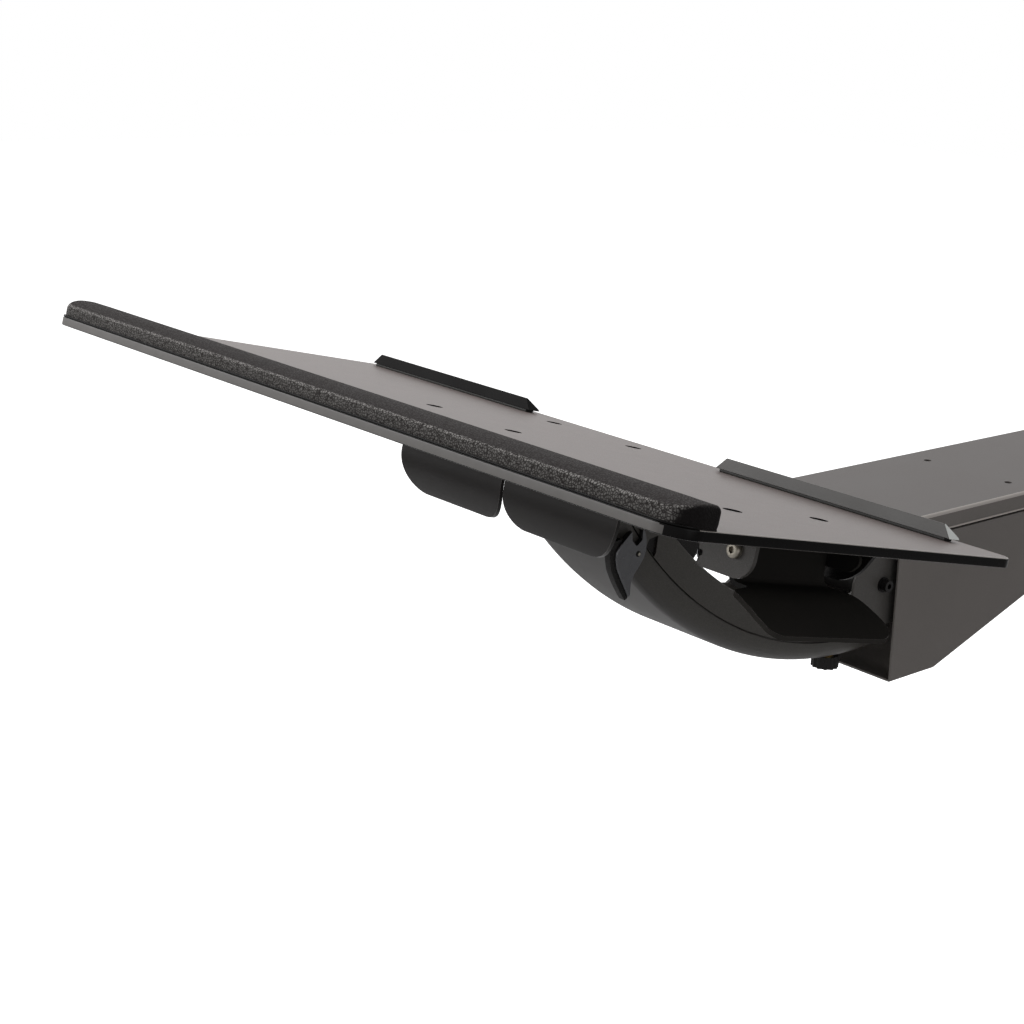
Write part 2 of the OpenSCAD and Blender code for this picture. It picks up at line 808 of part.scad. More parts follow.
// Paddle to the right of the centre line: flat at the top, curving back at the foot
module paddle() {
    outer = rod_d / 2 + knuckle_wall;
    low = -paddle_drop;
    bend_z = rod_z - paddle_straight;
    translate([arm_x, paddle_y, 0]) difference() {
        union() {
            intersection() {
                along_x(paddle_x0, paddle_w) union() {
                    translate([-outer, bend_z]) square([paddle_t, rod_z - bend_z]);
                    intersection() {
                        translate([paddle_curve_r - outer, bend_z]) difference() {
                            circle(paddle_curve_r, $fn = 256);
                            circle(paddle_curve_r - paddle_t, $fn = 256);
                        }
                        translate([-outer - cut, bend_z - paddle_curve_r])
                            square([paddle_curve_r, paddle_curve_r]);
                    }
                }
                along_y(-paddle_curve_r, 2 * paddle_curve_r)
                    rounded(paddle_x0, low, paddle_x0 + paddle_w, rod_z + cut,
                        paddle_inner_r, paddle_r, paddle_top_r, paddle_top_r);
            }
            for (x = [paddle_x0 + knuckle_in, paddle_x0 + paddle_w - knuckle_in - knuckle_l])
                translate([0, 0, rod_z]) disc_x(x, 2 * outer, knuckle_l);
        }
        translate([0, 0, rod_z]) disc_x(0, rod_d + 2 * run_gap, 2 * paddle_w);
    }
}

module paddle_right() {
    color(BLACK) tray_frame() paddle();
}

module paddle_left() {
    color(BLACK) tray_frame() translate([2 * arm_x, 0, 0]) mirror([1, 0, 0]) paddle();
}

// Bracket of the side lever, with an ear at each end
module lever_bracket() {
    color(PLATE) tray_frame() difference() {
        union() {
            block(side_plate_x, side_plate_x + side_plate_w, side_ear_y, side_ear_y2 + side_ear_t,
                -tray_t - bracket_t, -tray_t);
            for (y = [side_ear_y, side_ear_y2])
                along_y(y, side_ear_t)
                    rounded(side_ear_x, -side_ear_drop, side_ear_x + side_ear_w, -tray_t - bracket_t,
                        side_ear_r2, side_ear_r, 0, 0);
        }
        translate([lever_pivot_x, 0, -lever_pivot_z]) disc_y(0, lever_pin_d, tray_d);
        translate([stop_screw_x, 0, stop_screw_z]) disc_y(0, stop_screw_d, side_ear_y2 - cut);
        lever_screw_places() translate([0, 0, -tray_d]) cylinder(d = screw_d, h = tray_d);
    }
}

module lever_board_screws() {
    color(BLACK) tray_frame() lever_screw_places() flat_screw();
}

// Two pivot screws of the side lever and its stop screw, all in the bracket's ears
module lever_screws() {
    color(ZINC) tray_frame() union() {
        translate([lever_pivot_x, 0, -lever_pivot_z]) union() {
            disc_y(side_ear_y - lever_head_t, lever_head_d, lever_head_t);
            disc_y(side_ear_y, lever_pin_d, 2 * side_ear_t + lug_gap + 1);
        }
        translate([lever_pivot_x, 0, -lever_pivot_z]) union() {
            disc_y(side_ear_y2 + side_ear_t, lever_head_d, lever_head_t);
            disc_y(side_ear_y2 - side_ear_t - lug_gap - 1, lever_pin_d, 2 * side_ear_t + lug_gap + 1);
        }
        translate([stop_screw_x, 0, stop_screw_z]) union() {
            disc_y(side_ear_y - stop_head_t, stop_head_d, stop_head_t);
            disc_y(side_ear_y, stop_screw_d, stop_screw_l);
        }
    }
}

// Unit vector to the left of the way from a to b
function left_of(a, b) = [a[1] - b[1], b[0] - a[0]] / norm(b - a);

// Point i of a bent line moved to its left by t, mitred between its two neighbours
function beside(path, i, t) =
    let (n = len(path) - 1)
    let (before = left_of(path[max(i - 1, 0)], path[max(i, 1)]))
    let (after = left_of(path[min(i, n - 1)], path[min(i + 1, n)]))
    path[i] + (before + after) * t / (1 + before * after);

// Section of the lever: upright flange, a flat shelf, then a wing that slopes outwards
module lever_profile() {
    fold_x = lever_flange_x + lever_shelf_w;
    slope = (lever_drop - lever_shelf) / (lever_x - fold_x);
    lower = [
        [lever_flange_x, lever_top],
        [lever_flange_x, -lever_shelf + lever_bend],
        [lever_flange_x + lever_bend * 0.3, -lever_shelf + lever_bend * 0.3],
        [lever_flange_x + lever_bend, -lever_shelf],
        [fold_x - lever_fold, -lever_shelf],
        [fold_x + lever_fold, -lever_shelf - slope * lever_fold],
        [lever_x + lever_t, -lever_drop - slope * lever_t]
    ];
    polygon(concat(lower, [for (i = [len(lower) - 1 : -1 : 0]) beside(lower, i, lever_t)]));
}

module side_lever() {
    y1 = side_ear_y + side_ear_t + lug_gap;
    y2 = side_ear_y2 - lug_gap;
    ears_z = -lever_shelf + lever_bend;
    color(BLACK) tray_frame() difference() {
        union() {
            difference() {
                intersection() {
                    along_y(lever_y, lever_l) lever_profile();
                    translate([0, 0, -2 * lever_drop]) linear_extrude(height = 2 * lever_drop)
                        rounded(lever_flange_x - cut, lever_y - cut, lever_x, lever_y + lever_l + cut,
                            0, lever_front_r, lever_rear_r, 0);
                }
                block(lever_flange_x - cut, side_ear_x + side_ear_w + lug_gap,
                    lever_y - cut, y1, ears_z, 0);
                block(lever_flange_x - cut, side_ear_x + side_ear_w + lug_gap,
                    y2, lever_y + lever_l + cut, ears_z, 0);
            }
            for (y = [y1, y2 - side_ear_t])
                along_y(y, side_ear_t) union() {
                    translate([lever_pivot_x, -lever_pivot_z]) circle(lever_lug_r);
                    polygon([
                        [lever_flange_x, lever_top], [lever_pivot_x, -lever_pivot_z + lever_lug_r],
                        [lever_pivot_x + lever_lug_r, -lever_pivot_z], [lever_flange_x, ears_z]
                    ]);
                }
        }
        translate([lever_pivot_x, 0, -lever_pivot_z]) disc_y(0, lever_pin_d + 2 * run_gap, tray_d);
    }
}

// Stop bar of the keyboard: sloped front face, pointed ends, seated on two pegs
module stop_bar(side) {
    color(BLACK) tray_frame() difference() {
        translate([stop_mid + side * stop_spacing / 2, 0, shoulder_t]) intersection() {
            along_x(-stop_l / 2, stop_l) translate([stop_y, 0]) polygon([
                [0, 0], [stop_d, 0], [stop_d, stop_h * 0.6], [stop_d * 0.75, stop_h], [stop_d * 0.5, stop_h]
            ]);
            along_y(stop_y - cut, stop_d + 2 * cut) polygon([
                [-stop_l / 2, 0], [stop_l / 2, 0], [stop_l / 2 - stop_end, stop_h + 0.01],
                [-stop_l / 2 + stop_end, stop_h + 0.01]
            ]);
        }
        peg_places(side) translate([0, 0, shoulder_t - cut]) cylinder(d = peg_d, h = peg_in + cut);
    }
}

module stop_pegs(side) {
    color(BLACK) tray_frame() peg_places(side) union() {
        translate([0, 0, -tray_t - peg_out])
            cylinder(d = peg_d, h = tray_t + peg_out + shoulder_t + peg_in);
        cylinder(d = shoulder_d, h = shoulder_t);
    }
}

module stop_bar_left() {
    stop_bar(-1);
}

module stop_pegs_left() {
    stop_pegs(-1);
}

module stop_bar_right() {
    stop_bar(1);
}

module stop_pegs_right() {
    stop_pegs(1);
}

mounting_channel();
housing();
cheek_left();
cheek_right();
cheek_rivets();
pivot_shaft();
pivot_screws();
spring_drum();
arm_shell();
pivot_bushes();
tilt_shaft();
tilt_nuts();
lock_strap();
strap_screws();
knob_collar();
lock_knob();
tray_board();
palm_rest();
tilt_bracket();
tilt_bushes();
board_screws();
paddle_hanger();
hinge_rod();
paddle_left();
paddle_right();
lever_bracket();
lever_board_screws();
lever_screws();
side_lever();
stop_bar_left();
stop_pegs_left();
stop_bar_right();
stop_pegs_right();
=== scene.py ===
# %% [markdown]
# # A keyboard tray that hangs under a desk
#
# The real object is a board for a keyboard, carried by a curved steel arm that swings up and
# down on a channel screwed under a desk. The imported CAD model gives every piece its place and
# size. Here each piece gets the rounded edges, small forms and finishes that the eye reads as
# powder-coated steel, laminate, moulded plastic and soft foam.

# %% Load the frame
import json
import math

import bmesh
import bpy
from mathutils import Matrix, Vector


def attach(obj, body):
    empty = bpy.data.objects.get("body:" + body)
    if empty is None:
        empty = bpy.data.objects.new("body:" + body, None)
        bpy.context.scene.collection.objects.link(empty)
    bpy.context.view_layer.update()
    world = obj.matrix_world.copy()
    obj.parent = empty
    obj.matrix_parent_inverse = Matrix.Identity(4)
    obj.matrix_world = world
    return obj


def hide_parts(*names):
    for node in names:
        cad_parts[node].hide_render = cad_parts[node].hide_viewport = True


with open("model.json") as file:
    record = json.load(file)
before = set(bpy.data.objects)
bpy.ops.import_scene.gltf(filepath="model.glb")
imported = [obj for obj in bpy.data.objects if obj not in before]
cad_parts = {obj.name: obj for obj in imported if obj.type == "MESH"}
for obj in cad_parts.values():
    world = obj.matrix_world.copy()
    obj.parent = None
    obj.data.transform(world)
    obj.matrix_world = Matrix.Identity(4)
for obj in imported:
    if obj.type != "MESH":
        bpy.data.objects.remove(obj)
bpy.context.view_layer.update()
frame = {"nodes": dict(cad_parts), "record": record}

MM = 0.001

# %% [markdown]
# ## Where the tray is
#
# The board tilts about a shaft at the top of the arm. Its own frame starts at the middle of
# the front edge of its top face: x to the right, y to the rear, z up out of the board. One
# matrix takes a point from there to the scene, so that every piece on the board is modelled
# flat and then placed once. Sizes are written in millimetres.

# %% The tray's frame
TILT = math.radians(13.3)
SHAFT = Vector((0.0, -491.05, 72.0)) * MM
SHAFT_ON_BOARD = Vector((0.0, 250.0, -28.8)) * MM
SHIFT_X = 25 * MM

TRAY = (
    Matrix.Translation(SHAFT + Vector((SHIFT_X, 0, 0)))
    @ Matrix.Rotation(-TILT, 4, "X")
    @ Matrix.Translation(-SHAFT_ON_BOARD)
)
TO_TRAY = TRAY.inverted()
TRAY_RIGHT, TRAY_REAR, TRAY_UP = TRAY.to_3x3().col
HERE = Matrix.Identity(4)


def on_tray(point):
    """A point of the scene in the tray's own frame, in mm."""
    return TO_TRAY @ point / MM


print("Front edge of the board at", [round(v, 4) for v in TRAY.translation])

# %% [markdown]
# ## Camera
#
# The camera stands where the photograph's was: in front, 44 degrees round to the right, and
# 15 degrees above. Its place was worked out from the straight edges of the board and of the
# channel. The small shift is the photograph's own crop, which isn't centred on its axis.

# %% Camera
CAMERA_AT = Vector((1022.5, -1361.8, 425.5)) * MM
CAMERA_RIGHT = Vector((0.70777, 0.70420, 0.05632))
CAMERA_UP = Vector((-0.21929, 0.14321, 0.96510))
CAMERA_BACK = Vector((0.67155, -0.69541, 0.25578))

camera = bpy.data.objects.new("camera", bpy.data.cameras.new("camera"))
bpy.context.collection.objects.link(camera)
camera.matrix_world = Matrix.Translation(CAMERA_AT) @ Matrix(
    (CAMERA_RIGHT, CAMERA_UP, CAMERA_BACK)
).transposed().to_4x4()
camera.data.sensor_width = 36
camera.data.lens = 65.755
camera.data.shift_x = -0.2230
camera.data.shift_y = -0.0309
bpy.context.scene.camera = camera
print("Camera at", [round(v, 3) for v in CAMERA_AT], "with a lens of", round(camera.data.lens, 1), "mm")

# %% [markdown]
# ## Nodes and colours
#
# Colours are written as sRGB hex values, as a paint chart gives them, and one function turns
# them linear. A second small function adds a shader node with its settings and links, so
# that each material below reads as a short recipe.

# %% Helpers for materials
def hex_colour(text):
    def linear(value):
        return value / 12.92 if value <= 0.04045 else ((value + 0.055) / 1.055) ** 2.4

    return tuple(linear(int(text[i : i + 2], 16) / 255) for i in (1, 3, 5)) + (1.0,)


def new_material(name):
    material = bpy.data.materials.new(name)
    material.use_nodes = True
    tree = material.node_tree
    tree.nodes.clear()
    return material, tree


def add(tree, kind, inputs=None, **settings):
    """Adds a node. An input that is another node's socket is linked, any other is set."""
    node = tree.nodes.new(kind)
    for key, value in settings.items():
        setattr(node, key, value)
    for key, value in (inputs or {}).items():
        if isinstance(value, bpy.types.NodeSocket):
            tree.links.new(value, node.inputs[key])
        else:
            node.inputs[key].default_value = value
    return node


# sockets of a Mix node that mixes two colours
FACTOR, FIRST, SECOND, MIXED = 0, 6, 7, 2


def per_metre(size_mm):
    """Noise scale that gives a feature of this size, since one noise cell is one unit."""
    return 1000.0 / size_mm


print("Hex #808080 is", round(hex_colour("#808080")[0], 3), "in linear light")

# %% [markdown]
# ## Powder coat
#
# The channel, housing, arm and brackets are steel sheet with a baked polyester powder coat:
# a satin warm grey. The powder melts into a very fine orange peel, about a millimetre
# across, and its gloss varies slowly over a panel. A Principled surface with a low bump from
# noise gives that; a plain colour would look like card. Copies of the one coat paint light and
# shade. A paler one on side faces is painted light. A darker one on the arm is painted shade,
# with a still darker belly mixed in by how far the surface turns away from the sides. A pale
# one is a painted highlight, and a near-black one is painted shade.

# %% Powder coat
FLECK = "#8d8884"
PEEL_MM, PEEL_HEIGHT = 1.1, 0.05


def powder_coat(name, colour, dark, roughness, gloss=0.2, belly=None):
    material, tree = new_material(name)
    coords = add(tree, "ShaderNodeTexCoord")
    place = coords.outputs["Object"]
    drift, speck, peel = [
        add(tree, "ShaderNodeTexNoise", {
            "Vector": place, "Scale": per_metre(size_mm), "Detail": detail}).outputs["Fac"]
        for size_mm, detail in ((90, 3.0), (0.7, 2.0), (PEEL_MM, 1.0))
    ]
    base = add(tree, "ShaderNodeMix", {
        FACTOR: drift, FIRST: hex_colour(dark), SECOND: hex_colour(colour)}, data_type="RGBA")
    fleck = add(tree, "ShaderNodeMapRange", {
        "Value": speck, "From Min": 0.45, "From Max": 0.75, "To Min": 0.0, "To Max": 0.1})
    base = add(tree, "ShaderNodeMix", {
        FACTOR: fleck.outputs["Result"], FIRST: base.outputs[MIXED], SECOND: hex_colour(FLECK)},
        data_type="RGBA")
    rough = add(tree, "ShaderNodeMapRange", {
        "Value": drift, "To Min": roughness - 0.05, "To Max": roughness + 0.06})
    bump = add(tree, "ShaderNodeBump", {
        "Height": peel, "Strength": 0.35, "Distance": PEEL_HEIGHT * MM})
    # a darker belly, painted shade, is mixed in where the surface turns away from the sides
    if belly:
        facing = add(tree, "ShaderNodeSeparateXYZ", {"Vector": coords.outputs["Normal"]})
        sideways = add(tree, "ShaderNodeMath", {0: facing.outputs["X"]}, operation="ABSOLUTE")
        turned = add(tree, "ShaderNodeMapRange", {
            "Value": sideways.outputs["Value"], "From Min": 0.3, "From Max": 0.95},
            interpolation_type="SMOOTHSTEP")
        base = add(tree, "ShaderNodeMix", {
            FACTOR: turned.outputs["Result"], FIRST: hex_colour(belly), SECOND: base.outputs[MIXED]},
            data_type="RGBA")
    shader = add(tree, "ShaderNodeBsdfPrincipled", {
        "Base Color": base.outputs[MIXED], "Roughness": rough.outputs["Result"],
        "Normal": bump.outputs["Normal"], "IOR": 1.5, "Specular IOR Level": gloss})
    add(tree, "ShaderNodeOutputMaterial", {"Surface": shader.outputs["BSDF"]})
    return material


coat_grey = powder_coat("powder_coat_warm_grey", "#56514f", "#4c4846", 0.46)
# a paler copy of the same coat for the side faces: painted light
coat_side_painted_light = powder_coat("powder_coat_warm_grey_side_painted_light", "#6c6764", "#615d5a", 0.46)
# the arm's coat is darker as painted shade, and its belly is darker still
coat_arm_painted_shade = powder_coat("powder_coat_arm_in_painted_shade", "#393734", "#373532", 0.42, belly="#1f1b19")
coat_light = powder_coat("powder_coat_light_grey", "#484644", "#413f3d", 0.40)
# a pale copy of the coat for the channel's roll, lower edge and beads: a painted highlight
coat_highlight_pale = powder_coat("powder_coat_roll_painted_highlight", "#aaa39e", "#9d9691", 0.35, 0.4)
# a near-black copy of the coat: painted shade in recesses, the arm's groove and window, its cheeks, the
# strap's liner, the rivet's rim and the bracket's rear ear
coat_shade_black = powder_coat("powder_coat_painted_shade_near_black", "#131212", "#0d0c0c", 0.5, 0.1)
coats = (coat_grey, coat_side_painted_light, coat_arm_painted_shade, coat_light, coat_highlight_pale, coat_shade_black)
print("Powder coats:", [coat.name for coat in coats])

# %% [markdown]
# ## Laminate board
#
# The board is a thin compact laminate: layers of resin-soaked paper pressed between plates.
# Its faces carry a fine matt grain from the press plate, and its sawn edge is the dark core,
# smoother and glossier where it was polished round. The rounded edges are painted paler as
# highlights, the front edge a grey that is painted light, and the dark core colour also
# paints shade on other pieces. The face colour breaks up into soft mottling a few millimetres
# across.

# %% Laminate
def laminate(name, colour, dark, roughness, grain_mm, grain_height, gloss):
    material, tree = new_material(name)
    place = add(tree, "ShaderNodeTexCoord").outputs["Object"]
    mottle = add(tree, "ShaderNodeTexNoise", {
        "Vector": place, "Scale": per_metre(14), "Detail": 5.0, "Roughness": 0.6})
    grain = add(tree, "ShaderNodeTexNoise", {
        "Vector": place, "Scale": per_metre(grain_mm), "Detail": 3.0})
    base = add(tree, "ShaderNodeMix", {
        FACTOR: mottle.outputs["Fac"], FIRST: hex_colour(dark), SECOND: hex_colour(colour)},
        data_type="RGBA")
    bump = add(tree, "ShaderNodeBump", {
        "Height": grain.outputs["Fac"], "Strength": 0.5, "Distance": grain_height * MM})
    rough = add(tree, "ShaderNodeMapRange", {
        "Value": grain.outputs["Fac"], "To Min": roughness - 0.08, "To Max": roughness + 0.08})
    shader = add(tree, "ShaderNodeBsdfPrincipled", {
        "Base Color": base.outputs[MIXED], "Roughness": rough.outputs["Result"],
        "Normal": bump.outputs["Normal"], "IOR": 1.53, "Specular IOR Level": gloss})
    add(tree, "ShaderNodeOutputMaterial", {"Surface": shader.outputs["BSDF"]})
    return material


board_face = laminate("laminate_face", "#6e6461", "#605856", 0.40, 0.9, 0.04, 0.25)
# the dark laminate core, also used to paint shade on the palm rest's strip and the lever's notch
board_core_and_shade = laminate("laminate_core_edge_and_painted_shade", "#0d0c0c", "#090808", 0.25, 1.5, 0.01, 0.06)
# the front edge band: a grey copy of the edge that is painted light
board_band_painted_light = laminate("laminate_front_edge_painted_light", "#63605e", "#52504e", 0.45, 1.2, 0.02, 0.2)
# the rounded upper and lower edges: paler colours that are painted highlights
board_arris_painted_highlight = laminate("laminate_upper_arris_painted_highlight", "#a29c98", "#948e8a", 0.35, 1.2, 0.01, 0.3)
board_foot_painted_highlight = laminate("laminate_lower_arris_painted_highlight", "#3b3735", "#322f2d", 0.35, 1.2, 0.01, 0.2)
laminates = (board_face, board_core_and_shade, board_band_painted_light, board_arris_painted_highlight, board_foot_painted_highlight)
print("Laminates:", [finish.name for finish in laminates])

# %% [markdown]
# ## Moulded plastics
#
# The lever and the front paddles are injection-moulded plastic (ABS), nearly black with a
# brown cast, and their rims are painted a paler grey as highlights. The keyboard stops and the
# knob come from a spark-eroded mould, which leaves a fine matt texture. The left stop is
# painted darker as shade, and the sawn ends of the right one are painted pale as highlights.

# %% Plastics
def moulded(name, colour, light, roughness, texture_mm, texture_height, specular):
    material, tree = new_material(name)
    place = add(tree, "ShaderNodeTexCoord").outputs["Object"]
    texture, waves = [
        add(tree, "ShaderNodeTexNoise", {
            "Vector": place, "Scale": per_metre(size_mm), "Detail": 2.0}).outputs["Fac"]
        for size_mm in (texture_mm, 60)
    ]
    rough = add(tree, "ShaderNodeMapRange", {
        "Value": waves, "To Min": roughness * 0.85, "To Max": roughness * 1.2})
    bump = add(tree, "ShaderNodeBump", {
        "Height": texture, "Strength": 0.5, "Distance": texture_height * MM})
    base = add(tree, "ShaderNodeMix", {
        FACTOR: waves, FIRST: hex_colour(colour), SECOND: hex_colour(light)}, data_type="RGBA")
    shader = add(tree, "ShaderNodeBsdfPrincipled", {
        "Base Color": base.outputs[MIXED], "Roughness": rough.outputs["Result"],
        "Normal": bump.outputs["Normal"], "IOR": 1.54, "Specular IOR Level": specular})
    add(tree, "ShaderNodeOutputMaterial", {"Surface": shader.outputs["BSDF"]})
    return material


abs_gloss = moulded("abs_gloss_black", "#2b2a28", "#32302e", 0.45, 25.0, 0.02, 0.0)
# the rim colour: a pale grey painted highlight along the rims
abs_rim_highlight = moulded("abs_gloss_rim_painted_highlight", "#6c6866", "#767270", 0.25, 25.0, 0.01, 0.3)
abs_paddle = moulded("abs_gloss_brown_black", "#262424", "#2e2c2b", 0.32, 18.0, 0.02, 0.08)
abs_matt = moulded("abs_spark_eroded_black", "#171615", "#1e1d1c", 0.45, 0.8, 0.05, 0.15)
abs_stop = moulded("abs_stop_brushed_dark", "#3b3937", "#464442", 0.42, 0.9, 0.09, 0.2)
# a darker copy of the stop's plastic for the left stop: painted shade
abs_stop_shade = moulded("abs_stop_dark_painted_shade", "#0d0c0c", "#121111", 0.5, 0.9, 0.05, 0.04)
# a pale colour for the right stop's sawn ends: a painted highlight
abs_end_highlight = moulded("abs_stop_end_painted_highlight", "#c9cdca", "#d6d9d6", 0.35, 1.5, 0.03, 0.4)
plastics = (abs_gloss, abs_rim_highlight, abs_paddle, abs_matt, abs_stop, abs_stop_shade, abs_end_highlight)
print("Plastics:", [finish.name for finish in plastics])

# %% [markdown]
# ## Metals
#
# Zinc plate is bright and bluish with a faint spangle, ground steel shows fine lines round
# the shaft, black oxide is dark and oily, and the bushes and collar are turned brass. A metal
# keeps the default IOR, and its character is in the roughness.

# %% Metals
def metal(name, colour, roughness, streak=(1, 1, 1), streak_mm=3.0, depth=0.12):
    material, tree = new_material(name)
    place = add(tree, "ShaderNodeTexCoord").outputs["Object"]
    turned = add(tree, "ShaderNodeMapping", {"Vector": place, "Scale": streak})
    lines = add(tree, "ShaderNodeTexNoise", {
        "Vector": turned.outputs["Vector"], "Scale": per_metre(streak_mm), "Detail": 4.0})
    rough = add(tree, "ShaderNodeMapRange", {
        "Value": lines.outputs["Fac"], "To Min": roughness - depth, "To Max": roughness + depth})
    bump = add(tree, "ShaderNodeBump", {
        "Height": lines.outputs["Fac"], "Strength": 0.3, "Distance": 0.02 * MM})
    shader = add(tree, "ShaderNodeBsdfPrincipled", {
        "Base Color": hex_colour(colour), "Metallic": 1.0, "Roughness": rough.outputs["Result"],
        "Normal": bump.outputs["Normal"]})
    add(tree, "ShaderNodeOutputMaterial", {"Surface": shader.outputs["BSDF"]})
    return material


zinc = metal("zinc_plate", "#c9cacc", 0.28, streak_mm=4.0)
zinc_strap = metal("zinc_plate_dull", "#58585a", 0.3, streak_mm=5.0)
zinc_aged = metal("zinc_plate_aged", "#8f8a80", 0.45, streak_mm=3.0)
ground_steel = metal("ground_steel", "#b4b3b1", 0.25, streak=(8, 1, 1), streak_mm=6.0, depth=0.08)
black_oxide = metal("black_oxide", "#2e2d2d", 0.38, streak_mm=2.0, depth=0.08)
brass = metal("turned_brass", "#c2a15b", 0.3, streak_mm=2.5)
metals = (zinc, zinc_strap, zinc_aged, ground_steel, black_oxide, brass)
print("Metals:", [finish.name for finish in metals])

# %% [markdown]
# ## Foam palm rest
#
# The palm rest is a self-skinned polyurethane foam: a soft charcoal skin with a leather-like
# pebble, cells about 2 mm across with creases between them. Voronoi cells give the pebbles,
# and a little noise bends their outlines so that they don't look like a honeycomb. The creases
# are painted darker as shade. The top is painted dark, the ridge pale as a highlight, the front
# between the two and the ends black as shade, so a colour ramp reads which way the skin faces.

# %% Palm rest skin
RIDGE_FROM, RIDGE_TO = 0.34, 0.8


def pebbled_skin(name, top, ridge, front, end, crease, cell_mm, height_mm):
    material, tree = new_material(name)
    coords = add(tree, "ShaderNodeTexCoord")
    place = coords.outputs["Object"]
    facing = add(tree, "ShaderNodeSeparateXYZ", {"Vector": coords.outputs["Normal"]})
    forward = add(tree, "ShaderNodeMath", {0: facing.outputs["Y"], 1: -1.0}, operation="MULTIPLY")
    # the colour ramp paints light and shade by facing: a dark top, a pale painted highlight on the ridge,
    # the front between the two
    ramp = add(tree, "ShaderNodeValToRGB", {"Fac": forward.outputs["Value"]})
    stops = ramp.color_ramp.elements
    stops[0].position, stops[0].color = 0.14, hex_colour(top)
    stops[1].position, stops[1].color = 0.97, hex_colour(front)
    for where in (RIDGE_FROM, RIDGE_TO):
        stops.new(where).color = hex_colour(ridge)
    # the ends are painted black as shade
    end_shade_mask = add(tree, "ShaderNodeMapRange", {
        "Value": facing.outputs["X"], "From Min": 0.25, "From Max": 0.7},
        interpolation_type="SMOOTHSTEP").outputs["Result"]
    skin = add(tree, "ShaderNodeMix", {
        FACTOR: end_shade_mask, FIRST: ramp.outputs["Color"], SECOND: hex_colour(end)}, data_type="RGBA")
    bend = add(tree, "ShaderNodeTexNoise", {"Vector": place, "Scale": per_metre(5), "Detail": 2.0})
    push = add(tree, "ShaderNodeVectorMath", {
        0: bend.outputs["Color"], 1: (1.8 * MM, 1.8 * MM, 1.8 * MM)}, operation="MULTIPLY")
    moved = add(tree, "ShaderNodeVectorMath", {0: place, 1: push.outputs["Vector"]}, operation="ADD")
    cells = add(tree, "ShaderNodeTexVoronoi", {
        "Vector": moved.outputs["Vector"], "Scale": per_metre(cell_mm)}, feature="DISTANCE_TO_EDGE")
    pebble = add(tree, "ShaderNodeMapRange", {
        "Value": cells.outputs["Distance"], "From Min": 0.0, "From Max": 0.28},
        interpolation_type="SMOOTHSTEP").outputs["Result"]
    fine = add(tree, "ShaderNodeTexNoise", {"Vector": place, "Scale": per_metre(0.8), "Detail": 2.0})
    # the creases between pebbles are painted darker as shade, black on the ends
    deep = add(tree, "ShaderNodeMix", {
        FACTOR: end_shade_mask, FIRST: hex_colour(crease), SECOND: hex_colour(end)}, data_type="RGBA")
    base = add(tree, "ShaderNodeMix", {
        FACTOR: pebble, FIRST: deep.outputs[MIXED], SECOND: skin.outputs[MIXED]}, data_type="RGBA")
    relief = add(tree, "ShaderNodeMath", {
        0: fine.outputs["Fac"], 1: 0.25, 2: pebble}, operation="MULTIPLY_ADD")
    bump = add(tree, "ShaderNodeBump", {
        "Height": relief.outputs["Value"], "Strength": 0.8, "Distance": height_mm * MM})
    rough = add(tree, "ShaderNodeMapRange", {"Value": pebble, "To Min": 0.75, "To Max": 0.52})
    shader = add(tree, "ShaderNodeBsdfPrincipled", {
        "Base Color": base.outputs[MIXED], "Roughness": rough.outputs["Result"],
        "Normal": bump.outputs["Normal"], "IOR": 1.45, "Specular IOR Level": 0.05})
    add(tree, "ShaderNodeOutputMaterial", {"Surface": shader.outputs["BSDF"]})
    return material


palm_skin_painted_light = pebbled_skin("self_skinned_foam_painted_light", top="#332f2f", ridge="#8a8785", front="#666462",
                         end="#151313", crease="#262322", cell_mm=1.7, height_mm=0.24)
print("Palm rest skin has", len(palm_skin_painted_light.node_tree.nodes), "nodes")

# %% [markdown]
# ## Modelling helpers
#
# Folded sheet and moulded parts never have a perfectly sharp edge, and it is the thin bright
# line along each edge that tells the eye what a thing is made of. Most CAD pieces only need
# that, so one helper copies a CAD node, merges its loose triangles, dissolves them into clean
# faces and bevels the sharp edges. Pieces with a form of their own are built further down,
# from blocks, rods and flat outlines in millimetres.

# %% Helpers for pieces
def finish_piece(bm, name, material, body, replaces=(), place=HERE, smooth_deg=32):
    """Makes a mesh object of the bmesh and attaches it to its body."""
    bmesh.ops.transform(bm, matrix=place, verts=bm.verts)
    mesh = bpy.data.meshes.new(name)
    bm.to_mesh(mesh)
    bm.free()
    for one in material if isinstance(material, (list, tuple)) else [material]:
        mesh.materials.append(one)
    mesh.shade_smooth()
    mesh.set_sharp_from_angle(angle=math.radians(smooth_deg))
    piece = bpy.data.objects.new(name, mesh)
    bpy.context.collection.objects.link(piece)
    even = piece.modifiers.new("weighted_normals", "WEIGHTED_NORMAL")
    even.keep_sharp = True
    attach(piece, body)
    if replaces:
        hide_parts(*replaces)
    return piece


def merged_copy(node):
    """The CAD node's mesh as one clean closed shell of large faces."""
    bm = bmesh.new()
    bm.from_mesh(frame["nodes"][node].data)
    bmesh.ops.remove_doubles(bm, verts=bm.verts, dist=2e-6)
    bmesh.ops.dissolve_limit(bm, angle_limit=math.radians(0.5), verts=bm.verts, edges=bm.edges)
    return bm


def sharp_edges(bm, above_deg=30, keep=lambda edge: True):
    limit = math.radians(above_deg)
    return [e for e in bm.edges if len(e.link_faces) == 2 and e.calc_face_angle(0) > limit and keep(e)]


def bevelled(bm, geom, offset, segments, affect="EDGES", clamp=False):
    return bmesh.ops.bevel(bm, geom=geom, offset=offset, offset_type="OFFSET", segments=segments,
                           profile=0.5, affect=affect, clamp_overlap=clamp, material=-1)["faces"]


